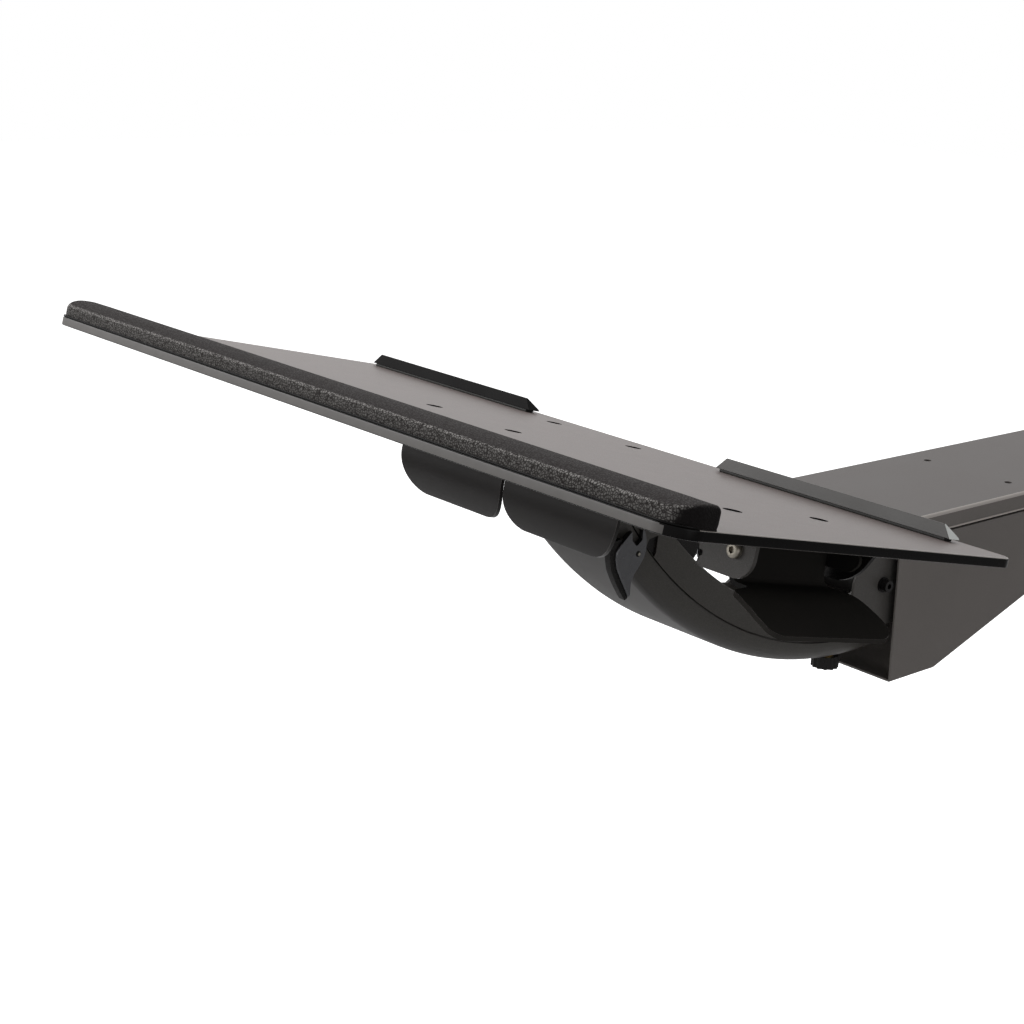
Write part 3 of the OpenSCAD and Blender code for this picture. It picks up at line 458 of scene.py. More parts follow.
def ease(bm, edges, width_mm, segments=2):
    """Rounds edges of a piece that is already in metres. Returns the new faces."""
    return bevelled(bm, edges, width_mm * MM, segments, clamp=True)


def to_metres(bm):
    bmesh.ops.scale(bm, vec=(MM, MM, MM), verts=bm.verts)


# %% CAD nodes with eased edges
NODE_BODY = {
    node: body for body, nodes in frame["record"]["behaviour"]["bodies"].items() for node in nodes
}


def eased(node, material, width_mm):
    """A copy of a CAD node with its sharp edges rounded, standing in for the node."""
    bm = merged_copy(node)
    ease(bm, sharp_edges(bm), width_mm)
    piece = finish_piece(bm, node + "_eased", material, NODE_BODY[node], [node])
    print(piece.name, len(piece.data.polygons), "faces")
    return piece


def paint(node, material):
    """Gives a CAD node that is shown as it is a better material."""
    mesh = frame["nodes"][node].data
    mesh.materials.clear()
    mesh.materials.append(material)


# %% Helpers for new shapes
def block(size, middle):
    """A box in mm."""
    bm = bmesh.new()
    bmesh.ops.create_cube(bm, size=1.0, matrix=Matrix.Translation(middle) @ Matrix.Diagonal((*size, 1)))
    return bm


def upright_edges(bm, keep):
    """The right-angled vertical edges of a block, as far as keep allows their place."""
    return [e for e in bm.edges if abs(e.verts[0].co.z - e.verts[1].co.z) > 0.5
            and abs(e.calc_face_angle(0) - math.pi / 2) < 0.1 and keep(e.verts[0].co)]


def rod(bm, radius, length, middle, turn=HERE, segments=24):
    bmesh.ops.create_cone(bm, cap_ends=True, segments=segments, depth=length, radius1=radius,
                          radius2=radius, matrix=Matrix.Translation(middle) @ turn)


def thickened(bm, vec):
    """Pushes a flat outline along a vector, which makes a closed plate."""
    grown = bmesh.ops.extrude_face_region(bm, geom=bm.faces[:], use_keep_orig=True)["geom"]
    bmesh.ops.translate(bm, vec=vec, verts=[g for g in grown if isinstance(g, bmesh.types.BMVert)])
    bmesh.ops.recalc_face_normals(bm, faces=bm.faces)


def cut(bm, at, normal):
    """Divides every face that a plane crosses."""
    bmesh.ops.bisect_plane(bm, geom=bm.verts[:] + bm.edges[:] + bm.faces[:], dist=1e-4,
                           plane_co=at, plane_no=normal)


def round_corners(bm, verts, radii, segments):
    """Rounds the corners of a flat outline."""
    for vert, radius in zip(verts, radii):
        bevelled(bm, [vert], radius, segments, affect="VERTICES")


TO_FRONT = Matrix.Rotation(math.radians(90), 4, "X")
TO_REAR = Matrix.Rotation(math.radians(-90), 4, "X")
TO_RIGHT = Matrix.Rotation(math.radians(90), 4, "Y")
print("New shapes are drawn in mm and then scaled by", MM)

# %% [markdown]
# ## Steel pieces that keep their shape
#
# The cheeks and brackets are sheet about 2 to 3 mm thick, so their edges take a radius of
# about half a millimetre.

# %% Steel pieces
# the tilt bracket and the paddle hanger take the arm's darker coat, painted shade
for node, finish, width in (("cheek_left", coat_light, 0.4), ("cheek_right", coat_light, 0.4),
                            ("tilt_bracket", coat_arm_painted_shade, 0.5), ("paddle_hanger", coat_arm_painted_shade, 0.3)):
    eased(node, finish, width)

# %% [markdown]
# ## Mounting channel
#
# The long edges of the channel are rolled over and turned down, nearly to the hem of the
# housing, which leaves a black slot between the two. The roll and the lower edge, with the
# bead along it, are a little smoother and painted pale as highlights. Faces of the CAD copy
# are sorted by where they are: the top has the grey coat, the skirts a paler copy of it that
# is painted light, the roll and the lower edge the painted highlight, and the rails behind a
# near black that is painted shade. The screw holes in the top are opened a little wider by
# pushing their vertices outwards.

# %% Mounting channel
HOLE_X, HOLE_Y = 47.5, 170.0
HOLE_NEAR, HOLE_GROWTH = 4.5, 1.3
CHANNEL_HOLES = [(x, y) for x in (-HOLE_X, HOLE_X) for y in (-HOLE_Y, 0.0, HOLE_Y)]
LIP_FACE, LIP_INSIDE = 77.0, 74.9
LIP_LOW, LIP_DEEP = -6.0, -16.4
ROLL_INSIDE, ROLL_LOW = 72.4, -3.2
ROLL_LEAN, UPRIGHT = 0.12, 0.985
HEM_TOP, RAIL_TOP = -15.7, -2.6


def channel_finish(face):
    """0 for the top, 1 for the rails in painted shade, 2 for the roll and the lower edge as painted
    highlights, 3 for the skirts in painted light.
    """
    middle = face.calc_center_median() / MM
    lean = abs(face.normal.x)
    outer = abs(middle.x) > ROLL_INSIDE
    if outer and (middle.z < HEM_TOP or (middle.z > ROLL_LOW and ROLL_LEAN < lean < UPRIGHT)):
        return 2
    if abs(middle.x) < LIP_FACE - 0.1 and middle.z < RAIL_TOP:
        return 1
    return 3 if outer and lean > UPRIGHT else 0


def mounting_channel():
    bm = merged_copy("mounting_channel")
    for vert in bm.verts:
        if abs(vert.co.x) > LIP_INSIDE * MM and abs(vert.co.z - LIP_LOW * MM) < 0.01 * MM:
            vert.co.z = LIP_DEEP * MM
        for x, y in CHANNEL_HOLES:
            away = Vector((vert.co.x - x * MM, vert.co.y - y * MM, 0))
            if away.length < HOLE_NEAR * MM:
                vert.co += away * (HOLE_GROWTH - 1)
    ease(bm, sharp_edges(bm), 0.6)
    for face in bm.faces:
        face.material_index = channel_finish(face)
    return finish_piece(bm, "channel_rolled", [coat_grey, coat_shade_black, coat_highlight_pale, coat_side_painted_light], "mount",
                        ["mounting_channel"])


print("Channel", len(mounting_channel().data.polygons), "faces")

# %% Beads of the channel
BEAD_X, BEAD_Z = 76.9, -15.6
BEAD_RADIUS = 0.85
BEAD_SHORT = 1.0


def lip_beads():
    """A rolled bead along the lower edge of each skirt, painted pale as a highlight."""
    bm = bmesh.new()
    along = [v.co.y / MM for v in frame["nodes"]["mounting_channel"].data.vertices]
    front, back = min(along) + BEAD_SHORT, max(along) - BEAD_SHORT
    for side in (-1, 1):
        rod(bm, BEAD_RADIUS, back - front, (side * BEAD_X, (front + back) / 2, BEAD_Z), TO_FRONT, 16)
    to_metres(bm)
    ease(bm, sharp_edges(bm, 60), 0.3)
    return finish_piece(bm, "channel_beads", coat_highlight_pale, "mount", ())


print("Beads", len(lip_beads().data.polygons), "faces")

# %% [markdown]
# ## Arm
#
# The arm is two nested pressings: an outer channel, and side plates that come out of it along
# a crease. Near the tray the crease opens into a horn-shaped window in the side, and dark
# moulded cheeks stand just inside the plates. The CAD node has the sweep, the crease and the
# ears. Here the plates are cut lower towards the tray, the crease becomes a groove painted near
# black as shade, and the window is cut into the flat side face by planes, sunk and painted
# with the same shade. The cheeks are painted near black with the shade coat. A cheek is a
# four-sided profile spun about the centre of the arm's sweep.

# %% Arm
ARC_CENTRE = Vector((0.0, -203.3, 231.5)) * MM
ARM_SIDE = 60.0
WINDOW = [(331.1, -50.9), (326.0, -51.3), (317.3, -50.4), (319.6, -49.3), (327.9, -48.9), (331.1, -48.4)]
WINDOW_DEPTH = 2.0
PLATE_EDGE, PLATE_EDGE_NEAR = 305.5, 0.8
PLATE_INSIDE = 55.0
# how much lower the plate is cut in mm, and the angle at which that starts
NEAR_PLATE, FAR_PLATE = (2.4, -22.0), (7.0, -2.0)
PLATE_FADE_DEG = 5.0
GROOVE_AT = 58.2
# the crease's vertices and the groove's faces, by their radius and their distance from the middle
CREASE_RADII, CREASE_OUT = (331.0, 333.0), (59.2, 59.6)
GROOVE_RADII, GROOVE_OUT = (330.0, 332.8), (57.0, 59.8)


def within(value, limits):
    return limits[0] < value < limits[1]


def on_arc(x_mm, radius_mm, angle_deg):
    """A point of the scene, from its radius and its angle rearwards of straight down."""
    angle = math.radians(angle_deg)
    radius = radius_mm * MM
    return ARC_CENTRE + Vector((x_mm * MM, radius * math.sin(angle), -radius * math.cos(angle)))


def from_centre(point):
    """The way from the centre of the sweep to a point, as seen from the side."""
    return Vector((0, point.y - ARC_CENTRE.y, point.z - ARC_CENTRE.z))


def face_at(bm, point):
    flat = [f for f in bm.faces if abs(f.calc_center_median().x - point.x) < 0.01 * MM
            and abs(f.normal.x) > 0.99]
    return next((f for f in flat if bmesh.geometry.intersect_face_point(f, point)), None)


def sink_window(bm, side):
    corners = [on_arc(side * ARM_SIDE, radius, angle) for radius, angle in WINDOW]
    middle = sum(corners, Vector()) / len(corners)
    for start, end in zip(corners, corners[1:] + corners[:1]):
        face = face_at(bm, middle)
        normal = (end - start).cross(Vector((1, 0, 0)))
        bmesh.ops.bisect_plane(bm, geom=[face] + face.edges[:] + face.verts[:], dist=1e-7,
                               plane_co=start, plane_no=normal)
    sunk = bmesh.ops.extrude_discrete_faces(bm, faces=[face_at(bm, middle)])["faces"]
    bmesh.ops.translate(bm, vec=(-side * WINDOW_DEPTH * MM, 0, 0), verts=sunk[0].verts)
    # the sunk window is painted near black as shade
    sunk[0].material_index = 1


def arm():
    bm = merged_copy("arm_shell")
    for vert in bm.verts:
        away = from_centre(vert.co)
        x, radius, angle = vert.co.x / MM, away.length / MM, math.degrees(math.atan2(away.y, -away.z))
        trim, rear = NEAR_PLATE if x > 0 else FAR_PLATE
        if abs(radius - PLATE_EDGE) < PLATE_EDGE_NEAR and abs(x) > PLATE_INSIDE and angle < rear:
            vert.co += away.normalized() * (trim * MM) * min(1.0, (rear - angle) / PLATE_FADE_DEG)
        elif within(radius, CREASE_RADII) and within(abs(x), CREASE_OUT):
            vert.co.x *= GROOVE_AT * MM / abs(vert.co.x)
    for face in bm.faces:
        middle = face.calc_center_median()
        radius = from_centre(middle).length / MM
        if within(radius, GROOVE_RADII) and within(abs(middle.x) / MM, GROOVE_OUT):
            # the groove is painted near black as shade
            face.material_index = 1
    for side in (1, -1):
        sink_window(bm, side)
    ease(bm, sharp_edges(bm), 0.3)
    return finish_piece(bm, "arm_pressed", [coat_arm_painted_shade, coat_shade_black], "arm", ["arm_shell"])


print("Arm", len(arm().data.polygons), "faces")

# %% Arm cheeks
CHEEK_SECTION = [(50.0, 294.0), (57.4, 294.0), (57.4, 316.0), (50.0, 316.0)]
CHEEK_FROM, CHEEK_TO = -51.5, -41.8


def swept(bm, profile, sweep_deg, steps):
    """Spins a profile along the arm, rearwards."""
    bmesh.ops.spin(bm, geom=profile, cent=ARC_CENTRE, axis=(1, 0, 0), angle=math.radians(sweep_deg),
                   steps=steps, use_merge=False)
    bmesh.ops.recalc_face_normals(bm, faces=bm.faces)


def arm_cheek(side):
    """A moulded cheek, painted near black as shade, that stands above the plate's edge near the tray."""
    bm = bmesh.new()
    corners = [bm.verts.new(on_arc(side * x, radius, CHEEK_FROM)) for x, radius in CHEEK_SECTION]
    swept(bm, [bm.faces.new(corners)], CHEEK_TO - CHEEK_FROM, 12)
    ease(bm, sharp_edges(bm, 40), 1.2, 3)
    name = "arm_cheek_" + ("right" if side > 0 else "left")
    return finish_piece(bm, name, coat_shade_black, "arm", ())


print("Cheeks:", arm_cheek(1).name, arm_cheek(-1).name)

# %% [markdown]
# ## Lock strap
#
# The strap of the height lock curls round the arm's lower corner. From the side it is a
# sickle: a liner painted near black as shade shows as a dark crescent, and the zinc-plated
# strap next to it has a well rounded front edge, a fork that opens upwards, and a small rivet
# below the fork, whose rim is painted dark as shade. The outlines are points in the plane of
# the arm's side, joined, thickened and rounded.

# %% Lock strap
STRAP = [(-478.5, 38.0), (-485.8, 32.0), (-489.5, 29.7), (-492.7, 24.9), (-493.3, 19.0), (-491.8, 11.5),
         (-488.0, 3.5), (-483.6, -4.5), (-480.0, -11.5), (-478.3, -10.5), (-478.1, -2.2), (-475.5, 4.3),
         (-470.8, 9.6), (-466.3, 15.6), (-464.1, 21.4), (-463.9, 29.1), (-465.9, 36.5), (-468.0, 37.5),
         (-468.3, 30.0), (-473.6, 26.0), (-478.1, 31.0)]
LINER = [(-487.0, 33.5), (-495.5, 32.5), (-497.6, 26.5), (-497.7, 19.5), (-496.0, 10.5), (-491.5, 1.0),
         (-486.5, -7.5), (-481.8, -14.5), (-479.0, -13.0), (-479.0, 0.0), (-481.0, 20.0)]
STRAP_IN, STRAP_OUT = 60.2, 64.0
STRAP_ROUND_AHEAD_OF = -479.5
LINER_IN, LINER_OUT = 56.0, 62.4
RIVET_Y, RIVET_Z = -471.8, 20.0
# the rivet's rim, painted dark as shade, and its bright middle: radius, and where each starts and ends
RIVET_STEPS = ((2.4, 60.5, STRAP_OUT + 0.3), (1.2, 62.0, STRAP_OUT + 1.3))


def plate_from(outline, x_from, x_to):
    """A plate in mm, from its outline in y and z."""
    bm = bmesh.new()
    bm.faces.new([bm.verts.new((x_from, y, z)) for y, z in outline])
    thickened(bm, (x_to - x_from, 0, 0))
    return bm


def lock_strap():
    bm = plate_from(STRAP, STRAP_IN, STRAP_OUT)
    front = [e for e in bm.edges
             if all(v.co.x > STRAP_OUT - 0.01 and v.co.y < STRAP_ROUND_AHEAD_OF for v in e.verts)]
    bevelled(bm, front, 3.0, 5, clamp=True)
    to_metres(bm)
    return finish_piece(bm, "lock_strap_curled", zinc_strap, "arm", ["lock_strap"], smooth_deg=50)


def strap_liner():
    bm = plate_from(LINER, LINER_IN, LINER_OUT)
    to_metres(bm)
    ease(bm, sharp_edges(bm, 40), 0.5)
    # the liner is painted near black with the shade coat
    return finish_piece(bm, "lock_strap_liner", coat_shade_black, "arm", ())


def strap_rivet():
    bm = bmesh.new()
    for radius, x_from, x_to in RIVET_STEPS:
        rod(bm, radius, x_to - x_from, ((x_from + x_to) / 2, RIVET_Y, RIVET_Z), TO_RIGHT, 28)
    to_metres(bm)
    ease(bm, sharp_edges(bm, 60), 0.4, 3)
    for face in bm.faces:
        face.material_index = 1 if face.calc_center_median().x > (STRAP_OUT + 0.5) * MM else 0
    return finish_piece(bm, "lock_strap_rivet", [coat_shade_black, zinc_aged], "arm", ())


print("Strap pieces:", [piece.name for piece in (lock_strap(), strap_liner(), strap_rivet())])

# %% [markdown]
# ## Seal over the slot
#
# A thin strip lies over the slot in the arm's web and follows its rounded corner. The strip
# is a short curved line across the corner, spun along the arm as the cheeks were.

# %% Seal over the slot
SEAL_ACROSS = (43.4, 44.9, 46.5, 48.1, 49.6)
SEAL_FROM, SEAL_TO = -52.6, -40.6
WEB_CORNER_X, WEB_CORNER_RADIUS = 41.0, 19.0
WEB_CORNER_AT = 332.12


def slot_seal():
    bm = bmesh.new()
    line = []
    for x in SEAL_ACROSS:
        round_mm = math.sqrt(WEB_CORNER_RADIUS ** 2 - (x - WEB_CORNER_X) ** 2)
        line.append(bm.verts.new(on_arc(x, WEB_CORNER_AT + round_mm, SEAL_FROM)))
    edges = [bm.edges.new(pair) for pair in zip(line, line[1:])]
    swept(bm, line + edges, SEAL_TO - SEAL_FROM, 16)
    # the seal takes the arm's darker coat, painted shade
    return finish_piece(bm, "slot_seal", coat_arm_painted_shade, "arm", ())


print("Seal", len(slot_seal().data.polygons), "faces")

# %% [markdown]
# ## Housing
#
# The housing under the channel is folded from one sheet. A fold is rounder than a sawn edge,
# so its long lower edges are bevelled wide, and the rest only lightly.

# %% Housing
HOUSING_SIDE = 77.0
HOUSING_FOLD_BELOW = -21.5
HOUSING_FRONT, HOUSING_REAR = -184.5, 214.5


def is_fold(edge):
    x, y, z = (edge.verts[0].co + edge.verts[1].co) / 2 / MM
    return (abs(abs(x) - HOUSING_SIDE) < 0.02 and z < HOUSING_FOLD_BELOW
            and HOUSING_FRONT < y < HOUSING_REAR)


def housing():
    bm = merged_copy("housing")
    ease(bm, sharp_edges(bm, 20, is_fold), 1.6, 3)
    ease(bm, sharp_edges(bm, 50, lambda e: not is_fold(e)), 0.25, 1)
    # the housing takes the paler copy of the coat, painted light
    return finish_piece(bm, "housing_folded", coat_side_painted_light, "mount", ["housing"])


print("Housing", len(housing().data.polygons), "faces")

# %% [markdown]
# ## Board
#
# The laminate's edge is sawn, then rounded over on top by a router. The CAD node has the
# outline, the screw recesses and the peg holes. Its outer edge is rounded by a little more
# than a millimetre on top and broken by half a millimetre below. Faces that look up or down
# get the face finish. The front edge has a grey band that is painted light, the rounded edges
# are painted paler as highlights, and what is left shows the dark core.

# %% Board
BOARD_HALF, BOARD_DEPTH, BOARD_THICK = 343.0, 305.0, 6.4
# where the corners' rounds start: across the board, and from its front edge
CORNER_X, CORNER_FRONT, CORNER_REAR = 322.0, 21.0, 292.0
BAND_DEPTH, ARRIS_FROM = 8.0, 16.0
FLAT, FORWARD, SLOPED = 0.999, 0.93, 0.3


def on_rim(edge, level):
    """Whether an edge lies on the board's outline, at this height."""
    for vert in edge.verts:
        x, y, z = on_tray(vert.co)
        straight = abs(x) > BOARD_HALF - 0.1 or not 0.1 < y < BOARD_DEPTH - 0.1
        corner = abs(x) > CORNER_X and not CORNER_FRONT <= y <= CORNER_REAR
        if abs(z - level) > 0.1 or not (straight or corner):
            return False
    return True


def board_finish(face):
    """0 for the faces, 1 the core, 2 the front band painted light, 3 and 4 the upper and lower arris
    painted as highlights.
    """
    rise = face.normal.dot(TRAY_UP)
    depth = on_tray(face.calc_center_median()).y
    if abs(rise) > FLAT:
        return 0
    if -face.normal.dot(TRAY_REAR) > FORWARD and depth < BAND_DEPTH:
        return 2
    if abs(rise) > SLOPED and depth > ARRIS_FROM:
        return 3 if rise > 0 else 4
    return 1


def board():
    bm = merged_copy("tray_board")
    ease(bm, sharp_edges(bm, 40, lambda e: on_rim(e, 0.0)), 1.2, 3)
    ease(bm, sharp_edges(bm, 60, lambda e: on_rim(e, -BOARD_THICK)), 0.5)
    for face in bm.faces:
        face.material_index = board_finish(face)
    return finish_piece(bm, "board_routed", laminates, "tray", ["tray_board"])


print("Board", len(board().data.polygons), "faces")

# %% [markdown]
# ## Palm rest
#
# One foam moulding as long as the board, on a black adhesive strip whose black line in front
# is also painted shade under the foam. Seen from the end it has an upright front face, a soft
# ridge, and a top that rises gently to a crown near its rear edge. Its front corners follow
# the board, and its ends are rounded off more than the ridge is. A cloth simulation would blow
# a firm moulding up like a pillow, so the form is made directly: a block with bevelled
# corners, its top divided into rings and short lengths, and every vertex then set to the
# height that the section gives it at its distance from the rim.

# %% Palm rest: block
PALM_LENGTH, PALM_DEPTH = 685.6, 29.4
PALM_FRONT = 2.7
PALM_HIGH, PALM_RIDGE = 13.4, 8.6
PALM_CORNER, PALM_REAR_CORNER = 17.0, 4.2
# widths of the rings round the top, and where the block is cut along x, y and z
RINGS = (0.2, 0.3, 0.4, 0.5, 0.6, 0.8, 1.0)
PALM_CUTS = (range(-320, 321, 10), [PALM_FRONT + y for y in (9, 13, 17.5, 22, 25)], (0.08, 0.35, 0.7))


def palm_block():
    """The outline, one unit high, cut finely enough to be shaped."""
    bm = block((PALM_LENGTH, PALM_DEPTH, 1.0), (0, PALM_FRONT + PALM_DEPTH / 2, 0.5))
    for rear, radius in ((False, PALM_CORNER), (True, PALM_REAR_CORNER)):
        corner = upright_edges(bm, lambda spot: (spot.y > PALM_FRONT + PALM_DEPTH / 2) == rear)
        bevelled(bm, corner, radius, 10)
    top = next(f for f in bm.faces if f.normal.z > 0.9)
    for width in RINGS:
        bmesh.ops.inset_individual(bm, faces=[top], thickness=width, use_even_offset=True)
    for axis, places in zip(Matrix.Identity(3), PALM_CUTS):
        for place in places:
            cut(bm, axis * place, axis)
    return bm


# %% Palm rest: section and ends
CROWN_AT = 0.72 * PALM_DEPTH
CROWN_REAR = 0.5
RIM_ROUND, END_ROUND, END_REACH = 1.5, 2.3, 20.0
NECK_LOW, NECK_HIGH, NECK_IN = 0.05, 0.2, 0.4
NECK_END_FROM = 325.0


def rim_distance(along, deep):
    """Distance from the outline, with its corner rounds, in mm."""
    for radius, from_side in ((PALM_CORNER, deep), (PALM_REAR_CORNER, PALM_DEPTH - deep)):
        if along < radius and from_side < radius:
            return radius - math.hypot(radius - along, radius - from_side)
    return min(along, deep, PALM_DEPTH - deep)


def palm_height(x, y):
    deep = y - PALM_FRONT
    along = PALM_LENGTH / 2 - abs(x)
    slope = (PALM_HIGH - PALM_RIDGE) * (1 if deep < CROWN_AT else CROWN_REAR)
    height = PALM_HIGH - slope * ((deep - CROWN_AT) / CROWN_AT) ** 2
    # the rim's round grows from the ridge's to the ends'
    radius = RIM_ROUND + END_ROUND * max(0.0, 1.0 - along / END_REACH)
    distance = max(rim_distance(along, deep), 0.0)
    if distance < radius:
        height -= radius - math.sqrt(radius ** 2 - (radius - distance) ** 2)
    return height


def palm_rest():
    bm = palm_block()
    for vert in bm.verts:
        x, y, level = vert.co
        vert.co.z = level * palm_height(x, y)
        # the skin draws in a little just above the foot
        if NECK_LOW < level < NECK_HIGH:
            outwards = Vector((math.copysign(max(0.0, abs(x) - NECK_END_FROM), x),
                               y - PALM_FRONT - PALM_DEPTH / 2, 0))
            vert.co -= outwards.normalized() * NECK_IN
    to_metres(bm)
    piece = finish_piece(bm, "palm_rest_foam", palm_skin_painted_light, "tray", ["palm_rest"], TRAY, 60)
    return piece


print("Palm rest", len(palm_rest().data.polygons), "faces")

# %% Palm rest: adhesive strip
TAPE_SIZE = (684.6, 22.0, 1.0)
TAPE_MIDDLE = (0, 11.8, 0.55)


def palm_tape_and_shade():
    """The black strip between the foam and the board, seen as a line in front: partly the strip, partly
    painted shade under the foam.
    """
    bm = block(TAPE_SIZE, TAPE_MIDDLE)
    bevelled(bm, upright_edges(bm, lambda spot: spot.y < TAPE_MIDDLE[1]), PALM_CORNER, 10)
    to_metres(bm)
    ease(bm, sharp_edges(bm), 0.2)
    # the strip's black front line is partly painted shade under the foam
    return finish_piece(bm, "palm_rest_tape_and_painted_shade", board_core_and_shade, "tray", (), TRAY)


print("Tape", len(palm_tape_and_shade().data.polygons), "faces")

# %% [markdown]
# ## Keyboard stops
#
# Each stop is a long wedge: a nearly upright front face, a narrow top, and a back that slopes
# down to the board. Its ends are sawn at a slant, so the top is shorter than the foot. The
# left stop is painted darker as shade, and the sawn faces of the right one are painted paler
# as highlights. A foam strip closes the gap to the board.

# %% Keyboard stops
STOP_LENGTH = 212.0
STOP_SECTION = [(0.0, 0.0), (1.5, 8.5), (2.7, 8.5), (11.0, 1.3), (11.0, 0.0)]
# how far a sawn end leans inwards, over the height of the wedge
STOP_SLANT = 7.4 / 8.5
STOP_FRONT, STOP_LIFT = 284.0, 2.0
STOP_MIDDLE, STOP_APART = -12.0, 421.0
STOP_PLACES = {"left": STOP_MIDDLE - STOP_APART / 2, "right": STOP_MIDDLE + STOP_APART / 2}
# the left stop is painted darker as shade, and the right one's ends are painted pale as highlights
STOP_FINISHES = {"left": [abs_stop_shade, abs_stop_shade], "right": [abs_stop, abs_end_highlight]}
FOAM_SIZE = (STOP_LENGTH - 8.0, 8.0, STOP_LIFT - 0.15)
FOAM_BEHIND_FRONT = 4.2


def stop_bar(name):
    bm = plate_from(STOP_SECTION, -STOP_LENGTH / 2, STOP_LENGTH / 2)
    for vert in bm.verts:
        vert.co.x -= math.copysign(STOP_SLANT * vert.co.z, vert.co.x)
    bmesh.ops.translate(bm, vec=(STOP_PLACES[name], STOP_FRONT, STOP_LIFT), verts=bm.verts)
    to_metres(bm)
    bm.normal_update()
    for face in bm.faces:
        face.material_index = 1 if abs(face.normal.x) > 0.5 else 0
    ease(bm, sharp_edges(bm, 25), 0.35)
    return finish_piece(bm, "stop_wedge_" + name, STOP_FINISHES[name], "stop_" + name,
                        ["stop_bar_" + name], TRAY)


def stop_foam(name):
    bm = block(FOAM_SIZE, (STOP_PLACES[name], STOP_FRONT + FOAM_BEHIND_FRONT, STOP_LIFT / 2))
    to_metres(bm)
    ease(bm, sharp_edges(bm), 0.4)
    return finish_piece(bm, "stop_foam_" + name, abs_matt, "stop_" + name, (), TRAY)


for name in STOP_PLACES:
    print(stop_bar(name).name, stop_foam(name).name)

# %% [markdown]
# ## Plastic pieces
#
# The knob and pegs keep their CAD shapes. On the front paddles the faces that come out of the
# bevel get a grey rim colour, a painted highlight.

# %% Plastic pieces
def rimmed(bm, edges, width_mm, segments):
    # faces that come out of the bevel get the pale rim colour, a painted highlight
    for face in ease(bm, edges, width_mm, segments):
        face.material_index = 1


def paddle(node):
    bm = merged_copy(node)
    rimmed(bm, sharp_edges(bm), 0.5, 2)
    return finish_piece(bm, node + "_eased", [abs_paddle, abs_rim_highlight], NODE_BODY[node], [node])


for peg in ("stop_pegs_left", "stop_pegs_right"):
    paint(peg, abs_matt)
eased("lock_knob", abs_matt, 0.5)
print(paddle("paddle_left").name, paddle("paddle_right").name)

# %% [markdown]
# ## Side lever
#
# A glossy wing that the right hand squeezes up towards the board. Moulded in one piece, it
# has an upright flange between the ears of its bracket, a narrow flat shelf below them, and a
# wing that slopes outwards, with a big round at its rear corner. The easiest way to get such
# a shape is to draw it flat, as if it were unfolded, round its corners, cut it into strips,
# and then bend it: one function takes the distance along the sheet to its place in the
# section. A notch beside the flange leaves room for the front ear, and is dark in its shade.

# %% Side lever: flat outline
LEVER_SHEET = 3.0
LEVER_SECTION = [(264.0, -12.2), (264.0, -37.2), (264.6, -39.6), (266.2, -41.2), (268.6, -41.9),
                 (280.0, -42.0), (285.0, -42.3), (290.0, -43.1), (295.0, -44.5), (300.0, -46.2),
                 (316.0, -52.2), (324.0, -55.0), (331.9, -57.6)]


def section_lengths():
    """How far along the sheet each point of the section is."""
    lengths = [0.0]
    for (x0, z0), (x1, z1) in zip(LEVER_SECTION, LEVER_SECTION[1:]):
        lengths.append(lengths[-1] + math.hypot(x1 - x0, z1 - z0))
    return lengths


LEVER_LENGTHS = section_lengths()
LEVER_OUT = LEVER_LENGTHS[-1]
SHELF_AT = LEVER_LENGTHS[4]

# each corner: distance along the sheet, distance from the board's front edge, radius
LEVER_OUTLINE = [
    (0.0, 116.0, 2.0), (12.0, 116.0, 3.0), (22.0, 136.0, 6.0), (SHELF_AT + 10.0, 136.0, 4.0),
    (SHELF_AT + 19.0, 113.0, 4.0), (LEVER_OUT, 107.0, 10.0), (LEVER_OUT, 225.5, 26.0),
    (SHELF_AT + 4.0, 225.5, 8.0), (25.0, 219.0, 5.0), (0.0, 219.0, 3.0),
]


def flat_lever():
    bm = bmesh.new()
    verts = [bm.verts.new((along, y, 0)) for along, y, radius in LEVER_OUTLINE]
    bm.faces.new(verts)
    round_corners(bm, verts, [radius for along, y, radius in LEVER_OUTLINE], 8)
    for along in LEVER_LENGTHS[1:-1]:
        cut(bm, (along, 0, 0), (1, 0, 0))
    return bm


print("The lever's sheet is", round(LEVER_OUT, 1), "mm wide")

# %% Side lever: bend and thicken
NOTCH_REAR, NOTCH_RIGHT = 140.0, 284.0


def bent(along):
    """Where a point at this distance along the sheet comes to lie in the section."""
    index = next((i for i, reach in enumerate(LEVER_LENGTHS) if i and along <= reach + 1e-4),
                 len(LEVER_LENGTHS) - 1)
    start, end = LEVER_LENGTHS[index - 1], LEVER_LENGTHS[index]
    share = (along - start) / (end - start)
    (x0, z0), (x1, z1) = LEVER_SECTION[index - 1], LEVER_SECTION[index]
    return x0 + share * (x1 - x0), z0 + share * (z1 - z0)


def side_lever():
    bm = flat_lever()
    for vert in bm.verts:
        vert.co.x, vert.co.z = bent(vert.co.x)
    bmesh.ops.recalc_face_normals(bm, faces=bm.faces)
    if sum(f.normal.z * f.calc_area() for f in bm.faces) > 0:
        bmesh.ops.reverse_faces(bm, faces=bm.faces)
    bmesh.ops.solidify(bm, geom=bm.faces[:], thickness=-LEVER_SHEET)
    bmesh.ops.remove_doubles(bm, verts=bm.verts, dist=0.01)
    bmesh.ops.recalc_face_normals(bm, faces=bm.faces)
    to_metres(bm)
    rimmed(bm, sharp_edges(bm, 60), 0.45, 2)
    for face in bm.faces:
        middle = face.calc_center_median() / MM
        if middle.y < NOTCH_REAR and middle.x < NOTCH_RIGHT:
            face.material_index = 2
    return finish_piece(bm, "side_lever_wing", [abs_gloss, abs_rim_highlight, board_core_and_shade], "side_lever",
                        ["side_lever"], TRAY, 40)


